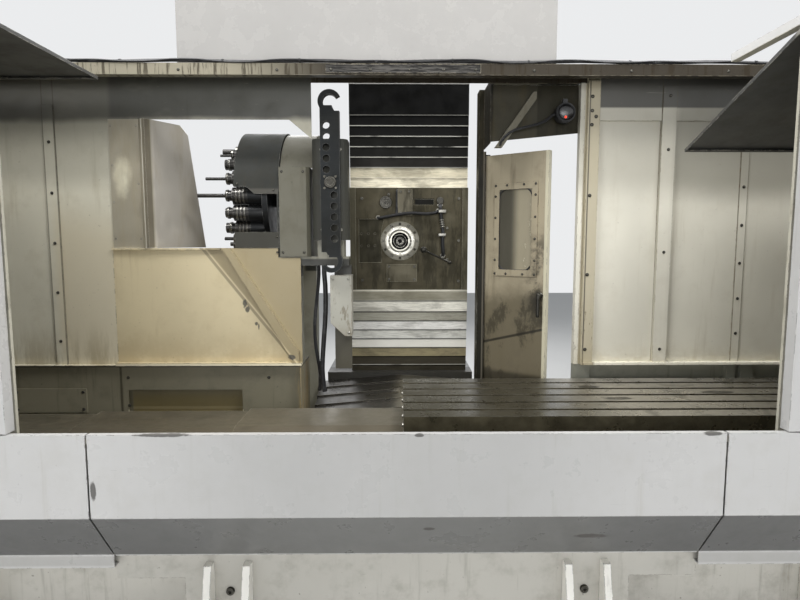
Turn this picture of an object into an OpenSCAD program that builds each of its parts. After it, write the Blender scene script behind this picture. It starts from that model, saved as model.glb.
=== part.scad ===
/* [Overall] */
// Width over both end walls
machine_w = 5100; // [4900:10:5400]
// Distance from the origin to the front face of the apron
front_y = 1600; // [1500:10:1700]
// Distance from the origin to the rear end of the bed
rear_y = 1600; // [1500:10:1800]
// Height of the spindle axis above the floor
spindle_z = 1550; // [1500:10:1600]
// Height of the white panel's top edge above the floor
panel_top_z = 2750; // [2600:10:2900]

/* [Bed] */
// Height of the machined top of the bed
bed_top = 560; // [520:5:580]
// Distance from the origin to the centre line of the table bed
x_bed_y = 1075; // [1060:5:1090]
// Depth of the bed that carries the table
x_bed_d = 430; // [400:5:460]
// Width of the bed that carries the column
z_bed_w = 800; // [760:10:820]
// Height of the guide ways over the bed
way_h = 40; // [30:1:45]
// Width of one guide way
way_w = 60; // [40:1:80]
// Distance between the two ways under the table
x_way_pitch = 230; // [200:5:240]
// Distance between the two ways under the column
z_way_pitch = 660; // [600:5:680]
// Radius of the feed screws
screw_r = 16; // [12:1:17]
// Distance from the end plates of the table bed out to the machine's ends
end_clear = 95; // [85:1:100]
// Height of the levelling feet
foot_h = 60; // [50:1:80]
// Radius of a levelling foot
foot_r = 55; // [40:1:70]

/* [Table] */
// Length of the T-slot table
table_l = 1800; // [1700:10:1830]
// Depth of the T-slot table
table_d = 562; // [540:1:570]
// Height of the table top above the floor
table_top = 935; // [925:1:945]
// Thickness of the table plate
table_t = 100; // [90:1:105]
// Distance between T-slots
slot_pitch = 100; // [90:1:105]
// Number of T-slots
slot_n = 5; // [3:1:5]
// Width of a T-slot's neck
slot_w = 22; // [14:1:28]
// Width of a T-slot's foot
slot_foot_w = 37; // [30:1:44]
// Depth of a T-slot's neck
slot_neck = 20; // [15:1:26]
// Height of a T-slot's foot
slot_foot_h = 16; // [12:1:20]

/* [Telescopic covers] */
// Sheet thickness of the covers
cover_t = 3; // [2:0.5:4]
// Step from one leaf to the next one inside it
cover_step = 8; // [7:0.5:10]
// Height of the wiper lip at a leaf's edge
lip_w = 10; // [8:1:12]
// Room left beside the folded covers on the table's right
x_fold_room = 13; // [8:1:18]
// Overlap of the leaves on the table's left, taken together
x_laps = 53; // [40:1:70]
// Height of the table covers
x_cover_z = 860; // [850:1:870]
// Depth of the table covers
x_cover_d = 335; // [320:1:340]
// Depth of the sloped front strip of the table covers
x_cover_slope = 110; // [80:1:130]
// Fall of the sloped front strip
x_cover_fall = 26; // [10:1:40]
// Length of a leaf of the column covers
z_leaf_l = 175; // [170:1:182]
// Distance between the front edges of the column covers
z_leaf_pitch = 138; // [134:1:139]
// Height of the ridge of the column covers
z_ridge = 815; // [810:1:818]
// Height of the eaves of the column covers
z_eave = 778; // [770:1:790]
// Width of the column covers
z_cover_w = 860; // [850:1:866]
// Length of a leaf of the head covers
y_leaf_l = 120; // [116:1:122]
// Step from one leaf of the head covers to the next one
y_step = 6; // [5:0.5:6.5]
// Height of the covers above the head
y_above = 539; // [530:1:545]
// Distance between the lower edges of the leaves above the head
up_pitch = 54; // [52:0.5:56]
// Distance between the lower edges of the leaves below the head
low_pitch = 51; // [48:0.5:51]

/* [Column and head] */
// Width of the column and of the head covers
column_w = 640; // [630:1:644]
// Offset of the column's middle from the spindle axis
column_x = 49; // [46:1:50]
// Depth of the column
column_d = 700; // [650:10:760]
// Width of one upright
upright_w = 86; // [70:1:90]
// Distance from the origin forward to the column's front face
column_front = 100; // [95:1:100]
// Height of the column's top
column_top = 2700; // [2650:10:2740]
// Height of the top of the column's foot
foot_top = 827; // [825:1:830]
// Height of the head's face plate
head_h = 549; // [540:1:552]
// Distance from the spindle axis down to the face plate's lower edge
head_low = 264; // [260:1:266]
// Thickness of the face plate
face_t = 20; // [16:1:22]
// Radius of the fixed flange round the spindle
nose_r = 103; // [95:1:110]
// Radius of the turning spindle nose
spindle_r = 78; // [72:1:85]
// Bore radius at the face of the spindle taper
taper_r = 35; // [22:1:36]
// Distance from the origin back to the rear of the head housing
head_l = 620; // [560:10:680]

/* [Tool changer] */
// Distance from the spindle axis out to the arm's hub
arm_x = 302; // [295:1:320]
// Height of the arm's hub above the floor
arm_z = 1803; // [1790:1:1810]
// Distance from the hub to the middle of a gripper
arm_r = 342; // [330:1:345]
// Width of the arm's bar
arm_w = 84; // [70:1:90]
// Thickness of the arm
arm_t = 30; // [20:1:32]
// Radius of the lightening holes
arm_hole_r = 16; // [10:1:18]
// Distance between lightening holes
arm_hole_pitch = 47; // [44:1:52]
// Radius of a gripper's mouth
grip_r = 30; // [26:1:34]
// Width of a gripper's hook
hook_w = 20; // [16:1:24]
// Radius of the pot circle of the magazine
pot_circle = 225; // [200:1:228]
// Number of pots
pot_n = 18; // [12:1:18]
// Radius of a pot
pot_r = 41; // [35:1:42]
// Height of the magazine's axis
mag_z = 1756; // [1750:1:1765]
// Distance from the origin forward to the magazine's axis
mag_y = 340; // [335:1:345]
// Outer radius of the magazine's guard
guard_r = 312; // [310:1:314]

/* [Enclosure] */
// Half of the width of the door opening
door_half = 1155; // [1150:1:1165]
// Distance from the spindle axis to the fixed panel in front of an open door
panel_half = 1151; // [1140:1:1152]
// Height of the apron's top edge
apron_top = 985; // [980:1:1000]
// Height at which the apron folds under
apron_fold = 730; // [700:1:760]
// Half of the length of the middle apron
apron_half = 943; // [900:1:960]
// Offset of the middle apron and of the pedestal from the spindle axis
middle_x = 25; // [0:1:30]
// Sheet thickness of aprons and frames
sheet_t = 4; // [3:0.5:5]
// Sheet thickness of the inner walls
wall_t = 3; // [2:0.5:4]
// Distance from the origin forward to the inner wall
wall_y = 650; // [645:1:652]
// Height of the inner wall's top edge
wall_top = 2262; // [2255:1:2264]
// Height of the lower edge of the inner walls
wall_low = 990; // [980:1:1000]
// Height of the roof beam's top
beam_top = 2270; // [2268:1:2280]
// Height of the roof beam's front face
beam_h = 46; // [44:1:56]
// Thickness of a sliding door
door_t = 60; // [50:1:70]
// Length of the left roof flap from its hinge
left_flap_l = 580; // [560:1:620]
// Length of the right roof flap from its hinge
right_flap_l = 705; // [680:1:708]
// Height of the left roof flap's hinge
left_flap_z = 2177; // [2170:1:2180]
// Height of the right roof flap's hinge
right_flap_z = 2161; // [2155:1:2170]
// Angle at which the right flap hangs
flap_droop = 20; // [10:1:22]
// Width of the service door
service_w = 330; // [320:1:345]
// Angle at which the service door stands open
service_open = 38; // [20:1:45]

/* [Hidden] */
$fn = 48;

// clearance of a piece that lies against its seat
seat = 0.3;
// radial clearance of a running fit
run_fit = 0.05;
half_w = machine_w / 2;
end_t = 49.7;
end_in = half_w - end_t;
cover_end_x = half_w - end_clear;
// five leaves, one folded stack on the right and four on the left, fill what the table leaves free
x_leaf_l = (2 * cover_end_x - table_l - x_fold_room + x_laps) / 5;
table_x0 = cover_end_x - x_fold_room - x_leaf_l - table_l;

// shared helpers
module span(x, y, z)
    translate([x[0], y[0], z[0]]) cube([x[1] - x[0], y[1] - y[0], z[1] - z[0]]);
module along_x(x0, x1)
    translate([x0, 0, 0]) rotate([90, 0, 90]) linear_extrude(x1 - x0) children();
module along_y(y0, y1)
    translate([0, y1, 0]) rotate([90, 0, 0]) linear_extrude(y1 - y0) children();
module rod_x(p, r, l) translate(p) rotate([0, 90, 0]) cylinder(r = r, h = l);
module rod_y(p, r, l) translate(p) rotate([-90, 0, 0]) cylinder(r = r, h = l);
module both_sides() { children(); mirror([1, 0, 0]) children(); }

// a folded sheet: the outer line p, with its thickness t on the left of its direction
function unit(a, b) = (b - a) / norm(b - a);
function left_of(d) = [-d[1], d[0]];
function fold_point(p, i, t) = let (n = len(p))
    i == 0 ? p[0] + t * left_of(unit(p[0], p[1])) :
    i == n - 1 ? p[i] + t * left_of(unit(p[i - 1], p[i])) :
    let (a = left_of(unit(p[i - 1], p[i])), b = left_of(unit(p[i], p[i + 1])), m = (a + b) / norm(a + b))
    p[i] + t / (m * a) * m;
module fold(p, t) polygon(concat(p, [for (i = [len(p) - 1:-1:0]) fold_point(p, i, t)]));

// a round tube swept along points, with rings square to the route
function dir_at(p, i) = let (a = p[max(i - 1, 0)], b = p[min(i + 1, len(p) - 1)]) (b - a) / norm(b - a);
function side_of(d) = let (s = cross(d, abs(d[2]) > 0.9 ? [0, 1, 0] : [0, 0, 1])) s / norm(s);
function ring(p, i, r, n) = let (d = dir_at(p, i), u = side_of(d), v = cross(d, u))
    [for (k = [0:n - 1]) p[i] + r * (cos(360 * k / n) * u + sin(360 * k / n) * v)];
module tube(p, r, n = 8) {
    m = len(p);
    points = [for (i = [0:m - 1]) each ring(p, i, r, n)];
    sides = [for (i = [0:m - 2], k = [0:n - 1])
        [i * n + k, i * n + (k + 1) % n, (i + 1) * n + (k + 1) % n, (i + 1) * n + k]];
    polyhedron(points, concat(sides, [[for (k = [n - 1:-1:0]) k], [for (k = [0:n - 1]) (m - 1) * n + k]]));
}

// bed
x_bed_front = -x_bed_y - x_bed_d / 2;
x_bed_back = -x_bed_y + x_bed_d / 2;
way_top = bed_top + way_h;
screw_z = bed_top + 20;
frame_y = 1440;
frame_d = 60;
pedestal_half = 735;
front_wide = 956;
front_low = 445;
end_plate_t = 20;
end_plate_h = 290;
bracket_in = 155;
bracket_x = 1500;
core_y = [-400, 200, 800];
core_l = 380;
core_z = [170, 420];

module bed() color([0.42, 0.42, 0.40]) {
    difference() {
        union() {
            // long bed under the table
            span([-cover_end_x - end_plate_t, cover_end_x + end_plate_t],
                [x_bed_front, x_bed_back], [foot_h, bed_top]);
            // rear bed under the column
            span([-z_bed_w / 2, z_bed_w / 2], [x_bed_back - 1, rear_y], [foot_h, bed_top]);
            // guide ways
            for (s = [-1, 1]) {
                span([-cover_end_x, cover_end_x],
                    [-x_bed_y + s * x_way_pitch / 2 - way_w / 2, -x_bed_y + s * x_way_pitch / 2 + way_w / 2],
                    [bed_top - 1, way_top]);
                span([s * z_way_pitch / 2 - way_w / 2, s * z_way_pitch / 2 + way_w / 2],
                    [x_bed_back + 60, rear_y - 40], [bed_top - 1, way_top]);
                // plates that close the ends of the table covers
                span(s > 0 ? [cover_end_x, cover_end_x + end_plate_t] : [-cover_end_x - end_plate_t, -cover_end_x],
                    [-x_bed_y - x_cover_d / 2, -x_bed_y + x_cover_d / 2], [bed_top - 1, bed_top + end_plate_h]);
            }
            // front frame that carries the aprons, on arms from the bed
            span([-end_in, end_in], [-frame_y, -frame_y + frame_d], [side_apron_low + 2, bed_top]);
            span([middle_x - front_wide, middle_x + front_wide], [-frame_y, -frame_y + frame_d], [front_low, bed_top]);
            for (x = [-cover_end_x + bracket_in, -bracket_x, bracket_x, cover_end_x - bracket_in])
                span([x - 60, x + 60], [-frame_y + frame_d - 1, x_bed_front + 1], [foot_h, bed_top]);
            // pedestal in the middle, down to the floor plate
            span([middle_x - pedestal_half, middle_x + pedestal_half], [-frame_y, x_bed_front + 1], [foot_h, bed_top]);
            // rear bearing plate of the column's feed screw
            span([-90, 90], [rear_y - 60, rear_y - 20], [bed_top - 1, bed_top + 60]);
        }
        // core openings in the front of the rear bed and in its sides
        for (y = core_y)
            span([-z_bed_w / 2 - 1, z_bed_w / 2 + 1], [y, y + core_l], core_z);
    }
}

// levelling feet
foot_in = 70;
module foot(x, y) translate([x, y, 0]) {
    cylinder(r = foot_r, h = 18);
    cylinder(r = 20, h = foot_h - seat);
    translate([0, 0, 30]) cylinder(r = 34, h = 14, $fn = 6);
}
module leveling_feet() color([0.25, 0.25, 0.26]) {
    for (side = [-1, 1]) {
        for (x = [560, bracket_x, cover_end_x - foot_in]) for (y = [x_bed_front + foot_in, x_bed_back - foot_in])
            foot(side * x, y);
        for (y = [-200, 700, rear_y - foot_in - 10]) foot(side * (z_bed_w / 2 - foot_in - 20), y);
        foot(middle_x + side * (pedestal_half - foot_in - 20), -frame_y + foot_in);
    }
}

// front apron: folded sheets in three lengths
apron_back = 20;
undercut_y = 1468;
apron_low = 541;
module apron_profile(low)
    fold([[-front_y + apron_back, apron_top - 15], [-front_y + apron_back, apron_top],
        [-front_y, apron_top], [-front_y, apron_fold], [-undercut_y, apron_low],
        [-undercut_y, low], [-frame_y - seat, low]], sheet_t);
module front_apron() color([0.86, 0.86, 0.87])
    along_x(middle_x - apron_half, middle_x + apron_half) apron_profile(apron_low - 1);
side_apron_low = 498;
apron_gap = 6;
module side_aprons() color([0.86, 0.86, 0.87]) {
    along_x(-half_w, middle_x - apron_half - apron_gap) apron_profile(side_apron_low);
    along_x(middle_x + apron_half + apron_gap, half_w) apron_profile(side_apron_low);
}

// slanted gusset plates in front of the pedestal
gusset_t = 24;
gusset_top = 503;
module apron_gussets() color([0.85, 0.85, 0.86]) translate([middle_x, 0, 0]) both_sides() for (x = [524, 649])
    along_x(x - gusset_t / 2, x + gusset_t / 2)
        polygon([[-frame_y - seat, 30], [-front_y + 12, 30], [-front_y + 12, 60],
            [-undercut_y - 4, gusset_top], [-frame_y - seat, gusset_top]]);

// sill that the doors run on
door_y0 = 1545;
door_low = 938;
sill_top = door_low - seat;
sill_step = 790;
module door_sill() color([0.55, 0.55, 0.53]) along_x(-end_in + seat, end_in - seat)
    fold([[-frame_y + 30, bed_top + seat], [-frame_y, bed_top + seat], [-frame_y, sill_step],
        [-door_y0, sill_step], [-door_y0, sill_top], [-door_y0 + door_t, sill_top],
        [-door_y0 + door_t, sill_top - 40]], -sheet_t);

// end walls with the fixed front panels beside the doors
front_panel_z1 = 2150;
module end_walls() color([0.86, 0.86, 0.86]) both_sides() {
    difference() {
        union() {
            span([end_in, half_w], [-front_y + 3, -wall_y + wall_t + 6], [foot_h, beam_top]);
            span([panel_half, half_w], [-front_y, -front_y + 40], [apron_top + 3, front_panel_z1]);
        }
        // the sheets are open behind
        span([panel_half + sheet_t, end_in + 1], [-front_y + sheet_t, -front_y + 41],
            [apron_top + 7, front_panel_z1 - sheet_t]);
        // room for the apron's folded end
        span([end_in - 1, half_w + 1], [-front_y - 1, -frame_y - seat], [foot_h - 1, apron_top + 3]);
    }
}

// inner walls
win_x0 = -1125;
win_x1 = -460;
win_z0 = 1519;
win_z1 = 2078;
post_x = -387;
post_z = 1996;
chute_x0 = -1279.7;
chute_x1 = -445;
seam_h = 6;
seam_w = 50;
module left_wall() color([0.66, 0.64, 0.57]) {
    along_y(-wall_y, -wall_y + wall_t)
        polygon([[-end_in + seat, wall_low], [chute_x0 - seat, wall_low], [chute_x0 - seat, win_z0],
            [win_x0, win_z0], [win_x0, win_z1], [win_x1 - 25, win_z1], [post_x, post_z], [post_x, wall_top],
            [-end_in + seat, wall_top]]);
    // folded seam strips
    for (x = [-1556, -1990])
        span([x, x + seam_w], [-wall_y - seam_h, -wall_y], [wall_low, win_z1 + 60]);
    // lower flange
    span([-end_in + seat, chute_x0 - seat], [-wall_y - 25, -wall_y + 1], [wall_low, wall_low + wall_t]);
}

// bright panel beside the tool window, with a flap that runs back into the machine
flap_back_x = -945;
flap_back_y = 410;
module window_panel() color([0.72, 0.72, 0.70]) difference() {
    translate([0, 0, win_z0 + seat]) linear_extrude(win_z1 - win_z0 - 2 * seat)
        fold([[-1272, -wall_y - seat - 2], [-1140, -wall_y - seat - 2], [-1120, -wall_y - 22],
            [-1108, -wall_y - 22], [win_x0 + 40, -wall_y + 10], [flap_back_x, -flap_back_y]], -2);
    // cut corner and slanted end of the flap
    along_y(-wall_y + 12, 0)
        polygon([[-1010, win_z1 + 1], [-1010, win_z1], [-988, win_z1 - 38], [flap_back_x, win_z0],
            [flap_back_x + 50, win_z0], [flap_back_x + 50, win_z1 + 1]]);
}

// sloped chute panel with a diagonal folded rib
rib_top_x = -790;
rib_low_x = -480;
// notch that clears the guards of the magazine
notch_x = -545;
notch_z = 1476;
module chute_panel() color([0.74, 0.70, 0.56]) {
    along_y(-wall_y, -wall_y + wall_t)
        polygon([[chute_x0, wall_low], [chute_x1, wall_low], [chute_x1, notch_z], [notch_x, notch_z],
            [notch_x, win_z0 - seat], [chute_x0, win_z0 - seat]]);
    // diagonal rib
    along_y(-wall_y - 22, -wall_y)
        polygon([[rib_top_x, win_z0 - seat], [rib_top_x + 34, win_z0 - seat],
            [rib_low_x + 22, 1050], [rib_low_x + 22, 1000], [rib_low_x, 1000]]);
    // lower ledge and top ledge
    span([chute_x0, chute_x1], [-wall_y - 30, -wall_y], [wall_low, wall_low + 12]);
    span([chute_x0, -800], [-wall_y - 12, -wall_y], [win_z0 - 8, win_z0 - seat]);
}

// lower left panel with the long slot, and the side wall beside the column covers
slot_x0 = -1243;
slot_x1 = -723;
slot_z = [768, 873];
lower_top = wall_low - seat;
lower_low = 600;
tray_y = 596;
rack_x1 = -450;
side_x = rack_x1 + wall_t + seat;
module lower_left_panel() color([0.52, 0.51, 0.47]) {
    difference() {
        union() {
            span([-end_in + seat, side_x], [-wall_y, -wall_y + wall_t], [lower_low, lower_top]);
            span([side_x - wall_t, side_x], [-wall_y - 40, -wall_y + 210], [lower_low, lower_top]);
        }
        span([slot_x0, slot_x1], [-wall_y - 1, -wall_y + wall_t + 1], slot_z);
    }
    // folded lip under the slot, and the chip tray behind it
    span([slot_x0, slot_x1], [-wall_y - 20, -wall_y + 1], [slot_z[0] - 8, slot_z[0]]);
    along_x(slot_x0 - 40, slot_x1 + 15)
        fold([[-wall_y + 1, slot_z[0] - 10], [-tray_y, slot_z[0] - 10], [-tray_y, slot_z[1] + 20],
            [-wall_y + 1, slot_z[1] + 20]], wall_t);
    // flange along the top
    span([-end_in + seat, side_x], [-wall_y - 18, -wall_y + 1], [lower_top - 8, lower_top]);
    // small cover plate on the left
    span([-1760, -1430], [-wall_y - 6, -wall_y + 1], [770, 880]);
}

// right wall
right_x0 = 791;
beam_low = 2236 - seat;
post_w = 52;
module right_wall() color([0.74, 0.72, 0.66]) {
    span([right_x0 + 30, end_in - seat], [-wall_y, -wall_y + wall_t], [wall_low, wall_top]);
    // corner post with its return edge
    span([right_x0 + 30, right_x0 + 30 + post_w], [-wall_y - 22, -wall_y + 1], [wall_low, wall_top - 20]);
    span([right_x0, right_x0 + 18], [-wall_y - 10, -wall_y + 25], [wall_low, beam_low]);
    span([right_x0 + 17, right_x0 + 31], [-wall_y - 1, -wall_y + 25], [wall_low, beam_low]);
    // seam posts
    span([1150, 1212], [-wall_y - 18, -wall_y + 1], [wall_low, wall_top - 40]);
    for (x = [1514, 2050])
        span([x, x + 38], [-wall_y - 4, -wall_y + 1], [wall_low, wall_top]);
    // folded band under the beam and the lower lip
    span([right_x0 + 82, end_in - seat], [-wall_y - 12, -wall_y + 1], [2075, wall_top]);
    span([right_x0 + 30, end_in - seat], [-wall_y - 30, -wall_y + 1], [wall_low, wall_low + 10]);
}
module lower_right_panel() color([0.34, 0.36, 0.36]) {
    span([right_x0, end_in - seat], [-wall_y + 20, -wall_y + 20 + wall_t], [lower_low, lower_top]);
    for (x = [right_x0, 1500, 1566])
        span([x, x + (x > 1560 ? 60 : x > 1000 ? 40 : 76)], [-wall_y - 6, -wall_y + 21],
            [lower_low, lower_top]);
}

// roof beam and the white panel on it
beam_y0 = 810;
beam_back = wall_y - wall_t - seat;
module roof_beam() color([0.50, 0.49, 0.44]) {
    along_x(-end_in + seat, end_in - seat)
        fold([[-beam_back + sheet_t, beam_low + seat], [-beam_back + sheet_t, beam_top], [-beam_y0, beam_top],
            [-beam_y0, beam_top - beam_h], [-beam_y0 + 40, beam_top - beam_h],
            [-beam_y0 + 40, beam_top - beam_h + 12]], sheet_t);
    // bright strip riveted on its face
    span([-302, 331], [-beam_y0 - 3, -beam_y0 + 1], [beam_top - beam_h + 8, beam_top - 4]);
}
top_x0 = -910;
top_x1 = 645;
top_d = 46;
module top_panel() color([0.88, 0.88, 0.90])
    difference() {
        span([top_x0, top_x1], [-790, -790 + top_d], [beam_top + seat, panel_top_z]);
        span([top_x0 + sheet_t, top_x1 - sheet_t], [-790 + sheet_t, -789 + top_d],
            [beam_top + sheet_t, panel_top_z - sheet_t]);
    }

// cables tied along the front of the beam
cable_r = 7;
cable_route = [for (i = [0:44])
    let (x = -2280 + i * 104) [x, -beam_y0 + 10, beam_top + cable_r + seat + 3 * (1 - cos(i * 68))]];
module cable_bundle() color([0.10, 0.10, 0.10]) tube(cable_route, cable_r);

// right hood, its diagonal stay, and the hinge post of the service door
hood_x0 = 402;
pillar_x = 378;
hinge_x = 425;
hinge_y = 400;
service_z0 = 868;
service_z1 = 1955;
hinge_pin_r = 6;
lug_t = 8;
module right_hood() color([0.45, 0.44, 0.40]) {
    // dark sheet between the post and the hinge post
    along_y(-wall_y + 30, -wall_y + 33)
        polygon([[hood_x0, 1990], [right_x0 + 24, 2030], [right_x0 + 24, beam_low], [hood_x0, beam_low]]);
    // bright side sheet that runs back to the hinge post
    span([hood_x0, hood_x0 + 3], [-wall_y + 32, -hinge_y - 30], [1985, wall_top]);
    // hinge post
    difference() {
        span([pillar_x, hood_x0], [-hinge_y - 32, -hinge_y + 50], [850, wall_top]);
        span([pillar_x + 6, hood_x0 + 1], [-hinge_y - 26, -hinge_y + 44], [849, wall_top - 10]);
    }
    // cover strip in front of the door's hinge line
    span([pillar_x, hinge_x - 12], [-hinge_y - 36, -hinge_y - 31], [850, service_z1 + 20]);
    // lugs that hold the pins of the service door
    for (z = [service_z0 - seat - lug_t, service_z1 + seat]) difference() {
        span([pillar_x + 5, hinge_x + 12], [-hinge_y - 12, -hinge_y + 12], [z, z + lug_t]);
        translate([hinge_x, -hinge_y, z - 1]) cylinder(r = hinge_pin_r + run_fit, h = lug_t + 2);
    }
    // diagonal stay
    along_y(-wall_y, -wall_y + 31)
        polygon([[420, 1962], [452, 1962], [600, 2170], [600, 2200], [586, 2200]]);
    // flange that ties the hood to the beam
    span([hood_x0, right_x0 - seat], [-beam_back + sheet_t + seat, -wall_y + 31], [beam_low + seat, wall_top]);
}

// work lamp under the hood with its cable
lamp_p = [720, -wall_y - 12, 2105];
module work_lamp() color([0.08, 0.08, 0.08]) translate(lamp_p) {
    rotate([90, 0, 0]) cylinder(r = 42, h = 46, center = true);
    translate([0, -23, 0]) rotate([90, 0, 0]) cylinder(r1 = 36, r2 = 30, h = 8);
    span([-12, 12], [22, 42 - seat], [-20, 20]);
    span([-10, 10], [-10, 10], [38, 60]);
}
lamp_route = [[677, -662, 2100], [668, -662, 2098], [656, -661, 2086], [634, -660, 2071], [606, -659, 2060],
    [574, -658, 2052], [540, -657, 2044], [508, -656, 2036], [480, -656, 2022], [462, -656, 2006],
    [448, -656, 1988], [440, -656, 1968]];
module lamp_cable() color([0.06, 0.06, 0.06]) tube(lamp_route, 6);

// telescopic leaf over the table ways; k counts inward from the outermost leaf
function x_line(k, skirt) = let (i = k * cover_step, y0 = -x_bed_y - x_cover_d / 2 + i,
        y1 = -x_bed_y + x_cover_d / 2 - i, z = x_cover_z - i)
    [[y1, skirt], [y1, z], [y0 + x_cover_slope, z], [y0, z - x_cover_fall], [y0, skirt]];
x_skirt = 640;
module x_leaf(x0, k, lip_at) {
    along_x(x0, x0 + x_leaf_l) fold(x_line(k, x_skirt), cover_t);
    // wiper lip down to the next leaf
    if (k < 3) along_x(lip_at, lip_at + lip_w)
        fold(fold_in(x_line(k, x_skirt), cover_t - 0.5), cover_step - cover_t + 0.5 - seat);
}
function fold_in(p, t) = [for (i = [0:len(p) - 1]) fold_point(p, i, t)];
table_x1 = table_x0 + table_l;
x_pitch_left = (cover_end_x + table_x0 - x_leaf_l - 2 * seat) / 3;
x_pitch_right = (cover_end_x - table_x1 - x_leaf_l - 2 * seat) / 3;
// left end of leaf k, with 0 at the table and 3 at the end plate
function left_leaf_x(k) = table_x0 - seat - x_leaf_l - k * x_pitch_left;
function right_leaf_x(k) = table_x1 + seat + k * x_pitch_right;
module left_leaf(k) color([0.40, 0.40, 0.38]) x_leaf(left_leaf_x(k), k, left_leaf_x(k));
module right_leaf(k) color([0.40, 0.40, 0.38])
    x_leaf(right_leaf_x(k), k, right_leaf_x(k) + x_leaf_l - lip_w);
module x_cover_fixed_leaves() { left_leaf(3); right_leaf(3); }
module x_cover_table_leaves() { left_leaf(0); right_leaf(0); }
module x_cover_1() { left_leaf(1); right_leaf(1); }
module x_cover_2() { left_leaf(2); right_leaf(2); }

// gabled telescopic leaf over the column ways
function z_line(k, skirt) = let (i = k * cover_step, x = z_cover_w / 2 - i)
    [[x, skirt], [x, z_eave - i], [0, z_ridge - i], [-x, z_eave - i], [-x, skirt]];
z_skirt = 640;
z_fixed_front = 905;
z_fixed_back = 600;
function z_leaf_front(k) = -column_front - 4 - z_leaf_pitch * (k + 1);
module z_leaf(k, y0, l) color([0.45, 0.45, 0.42]) {
    along_y(y0, y0 + l) fold(z_line(k, z_skirt), cover_t);
    along_y(y0, y0 + lip_w) fold(fold_in(z_line(k, z_skirt), cover_t - 0.5), cover_step - cover_t + 0.5 - seat);
}
module z_cover_1() z_leaf(3, z_leaf_front(3), z_leaf_l);
module z_cover_2() z_leaf(2, z_leaf_front(2), z_leaf_l);
module z_cover_3() z_leaf(1, z_leaf_front(1), z_leaf_l);
module z_cover_4() z_leaf(0, z_leaf_front(0), z_leaf_pitch + 4 - seat);
module z_cover_front() color([0.45, 0.45, 0.42])
    along_y(-z_fixed_front, -z_fixed_back) fold(z_line(4, bed_top + seat), cover_t);

// feed screws of the table and of the column, held still at both ends
module feed_screws() color([0.62, 0.62, 0.62]) {
    rod_x([-cover_end_x + seat, -x_bed_y, screw_z], screw_r, 2 * (cover_end_x - seat));
    rod_y([0, x_bed_back + 40, screw_z], screw_r, rear_y - 60 - seat - x_bed_back - 40);
}

// T-slot table on its carriage
table_y0 = -1268;
table_y1 = table_y0 + table_d;
table_mid = (table_y0 + table_y1) / 2;
body_y0 = -x_bed_y - x_cover_d / 2;
body_y1 = -x_bed_y + x_cover_d / 2;
module t_slot(y) translate([table_x0 - 1, y, 0]) {
    span([0, table_l + 2], [-slot_w / 2, slot_w / 2], [table_top - slot_neck - 1, table_top + 1]);
    span([0, table_l + 2], [-slot_foot_w / 2, slot_foot_w / 2],
        [table_top - slot_neck - slot_foot_h, table_top - slot_neck]);
}
module table() color([0.48, 0.47, 0.44]) difference() {
    union() {
        span([table_x0, table_x1], [table_y0, table_y1], [table_top - table_t, table_top]);
        span([table_x0, table_x1], [body_y0, body_y1], [way_top + seat, table_top - table_t + 1]);
        // nut of the feed screw
        span([table_x0 + 700, table_x0 + 1000], [-x_bed_y - 60, -x_bed_y + 60],
            [bed_top + 1, way_top + 1]);
    }
    for (i = [0:slot_n - 1]) t_slot(table_mid + (i - (slot_n - 1) / 2) * slot_pitch);
    rod_x([table_x0 + 699, -x_bed_y, screw_z], screw_r + run_fit, 302);
}

// column
col_x0 = column_x - column_w / 2;
col_x1 = column_x + column_w / 2;
upright_y = 0;
cross_z = spindle_z - head_low + head_h + y_above + seat;
y_way = 30;
y_way_w = 50;
y_screw_x = 215;
y_screw_y = 650;
module column() color([0.36, 0.38, 0.38]) difference() {
    union() {
        for (x = [col_x0, col_x1 - upright_w])
            span([x, x + upright_w], [upright_y, column_d], [foot_top - 1, column_top]);
        // cross head
        span([col_x0, col_x1], [-column_front, column_d], [cross_z, column_top]);
        // foot on the ways
        span([-z_bed_w / 2, z_bed_w / 2], [-column_front, column_d + 60], [way_top + seat, foot_top]);
        // ways of the head
        for (x = [col_x0 + 20, col_x1 - 20 - y_way_w])
            span([x, x + y_way_w], [upright_y - y_way, upright_y + 1], [foot_top - 1, cross_z + 1]);
        // nut of the feed screw
        span([-60, 60], [200, 460], [bed_top + 1, way_top + 2]);
        // rear ribs of the uprights
        for (z = [1050, 1400, 1750, 2100])
            for (s = [-1, 1])
                span([column_x + s * (column_w / 2 + 8) - 8, column_x + s * (column_w / 2 + 8) + 8],
                    [160, column_d - 60], [z, z + 20]);
    }
    rod_y([0, 199, screw_z], screw_r + run_fit, 262);
    // windows in the uprights
    for (z = [950, 1500, 2050])
        span([col_x0 - 20, col_x1 + 20], [230, 560], [z, z + 220]);
    // relief behind the cross head
    span([col_x0 + 90, col_x1 - 90], [120, column_d - 120], [cross_z + 100, column_top + 1]);
}
module column_screw() color([0.62, 0.62, 0.62])
    translate([y_screw_x, y_screw_y, foot_top + seat])
        cylinder(r = screw_r, h = cross_z - foot_top - 2 * seat);

// telescopic leaf in front of the head ways, k counts inward, z0 is its lower edge
y_last = 7;
y_half = column_w / 2 - 1;
y_lip_half = column_w / 2 - 40;
function y_sheet(k) = -column_front + 2 + k * y_step;
function y_line(k) = [[column_x - y_half, y_sheet(k)], [column_x + y_half, y_sheet(k)]];
module y_leaf(k, z0, l = y_leaf_l) color([0.55, 0.54, 0.48]) {
    translate([0, 0, z0]) linear_extrude(l) fold(y_line(k), cover_t);
    // wiper lip back to the next leaf
    if (k < y_last) span([column_x - y_lip_half, column_x + y_lip_half],
        [y_sheet(k) + cover_t - 1, y_sheet(k + 1) - seat], [z0, z0 + lip_w]);
}
head_z0 = spindle_z - head_low;
head_z1 = head_z0 + head_h;
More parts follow.
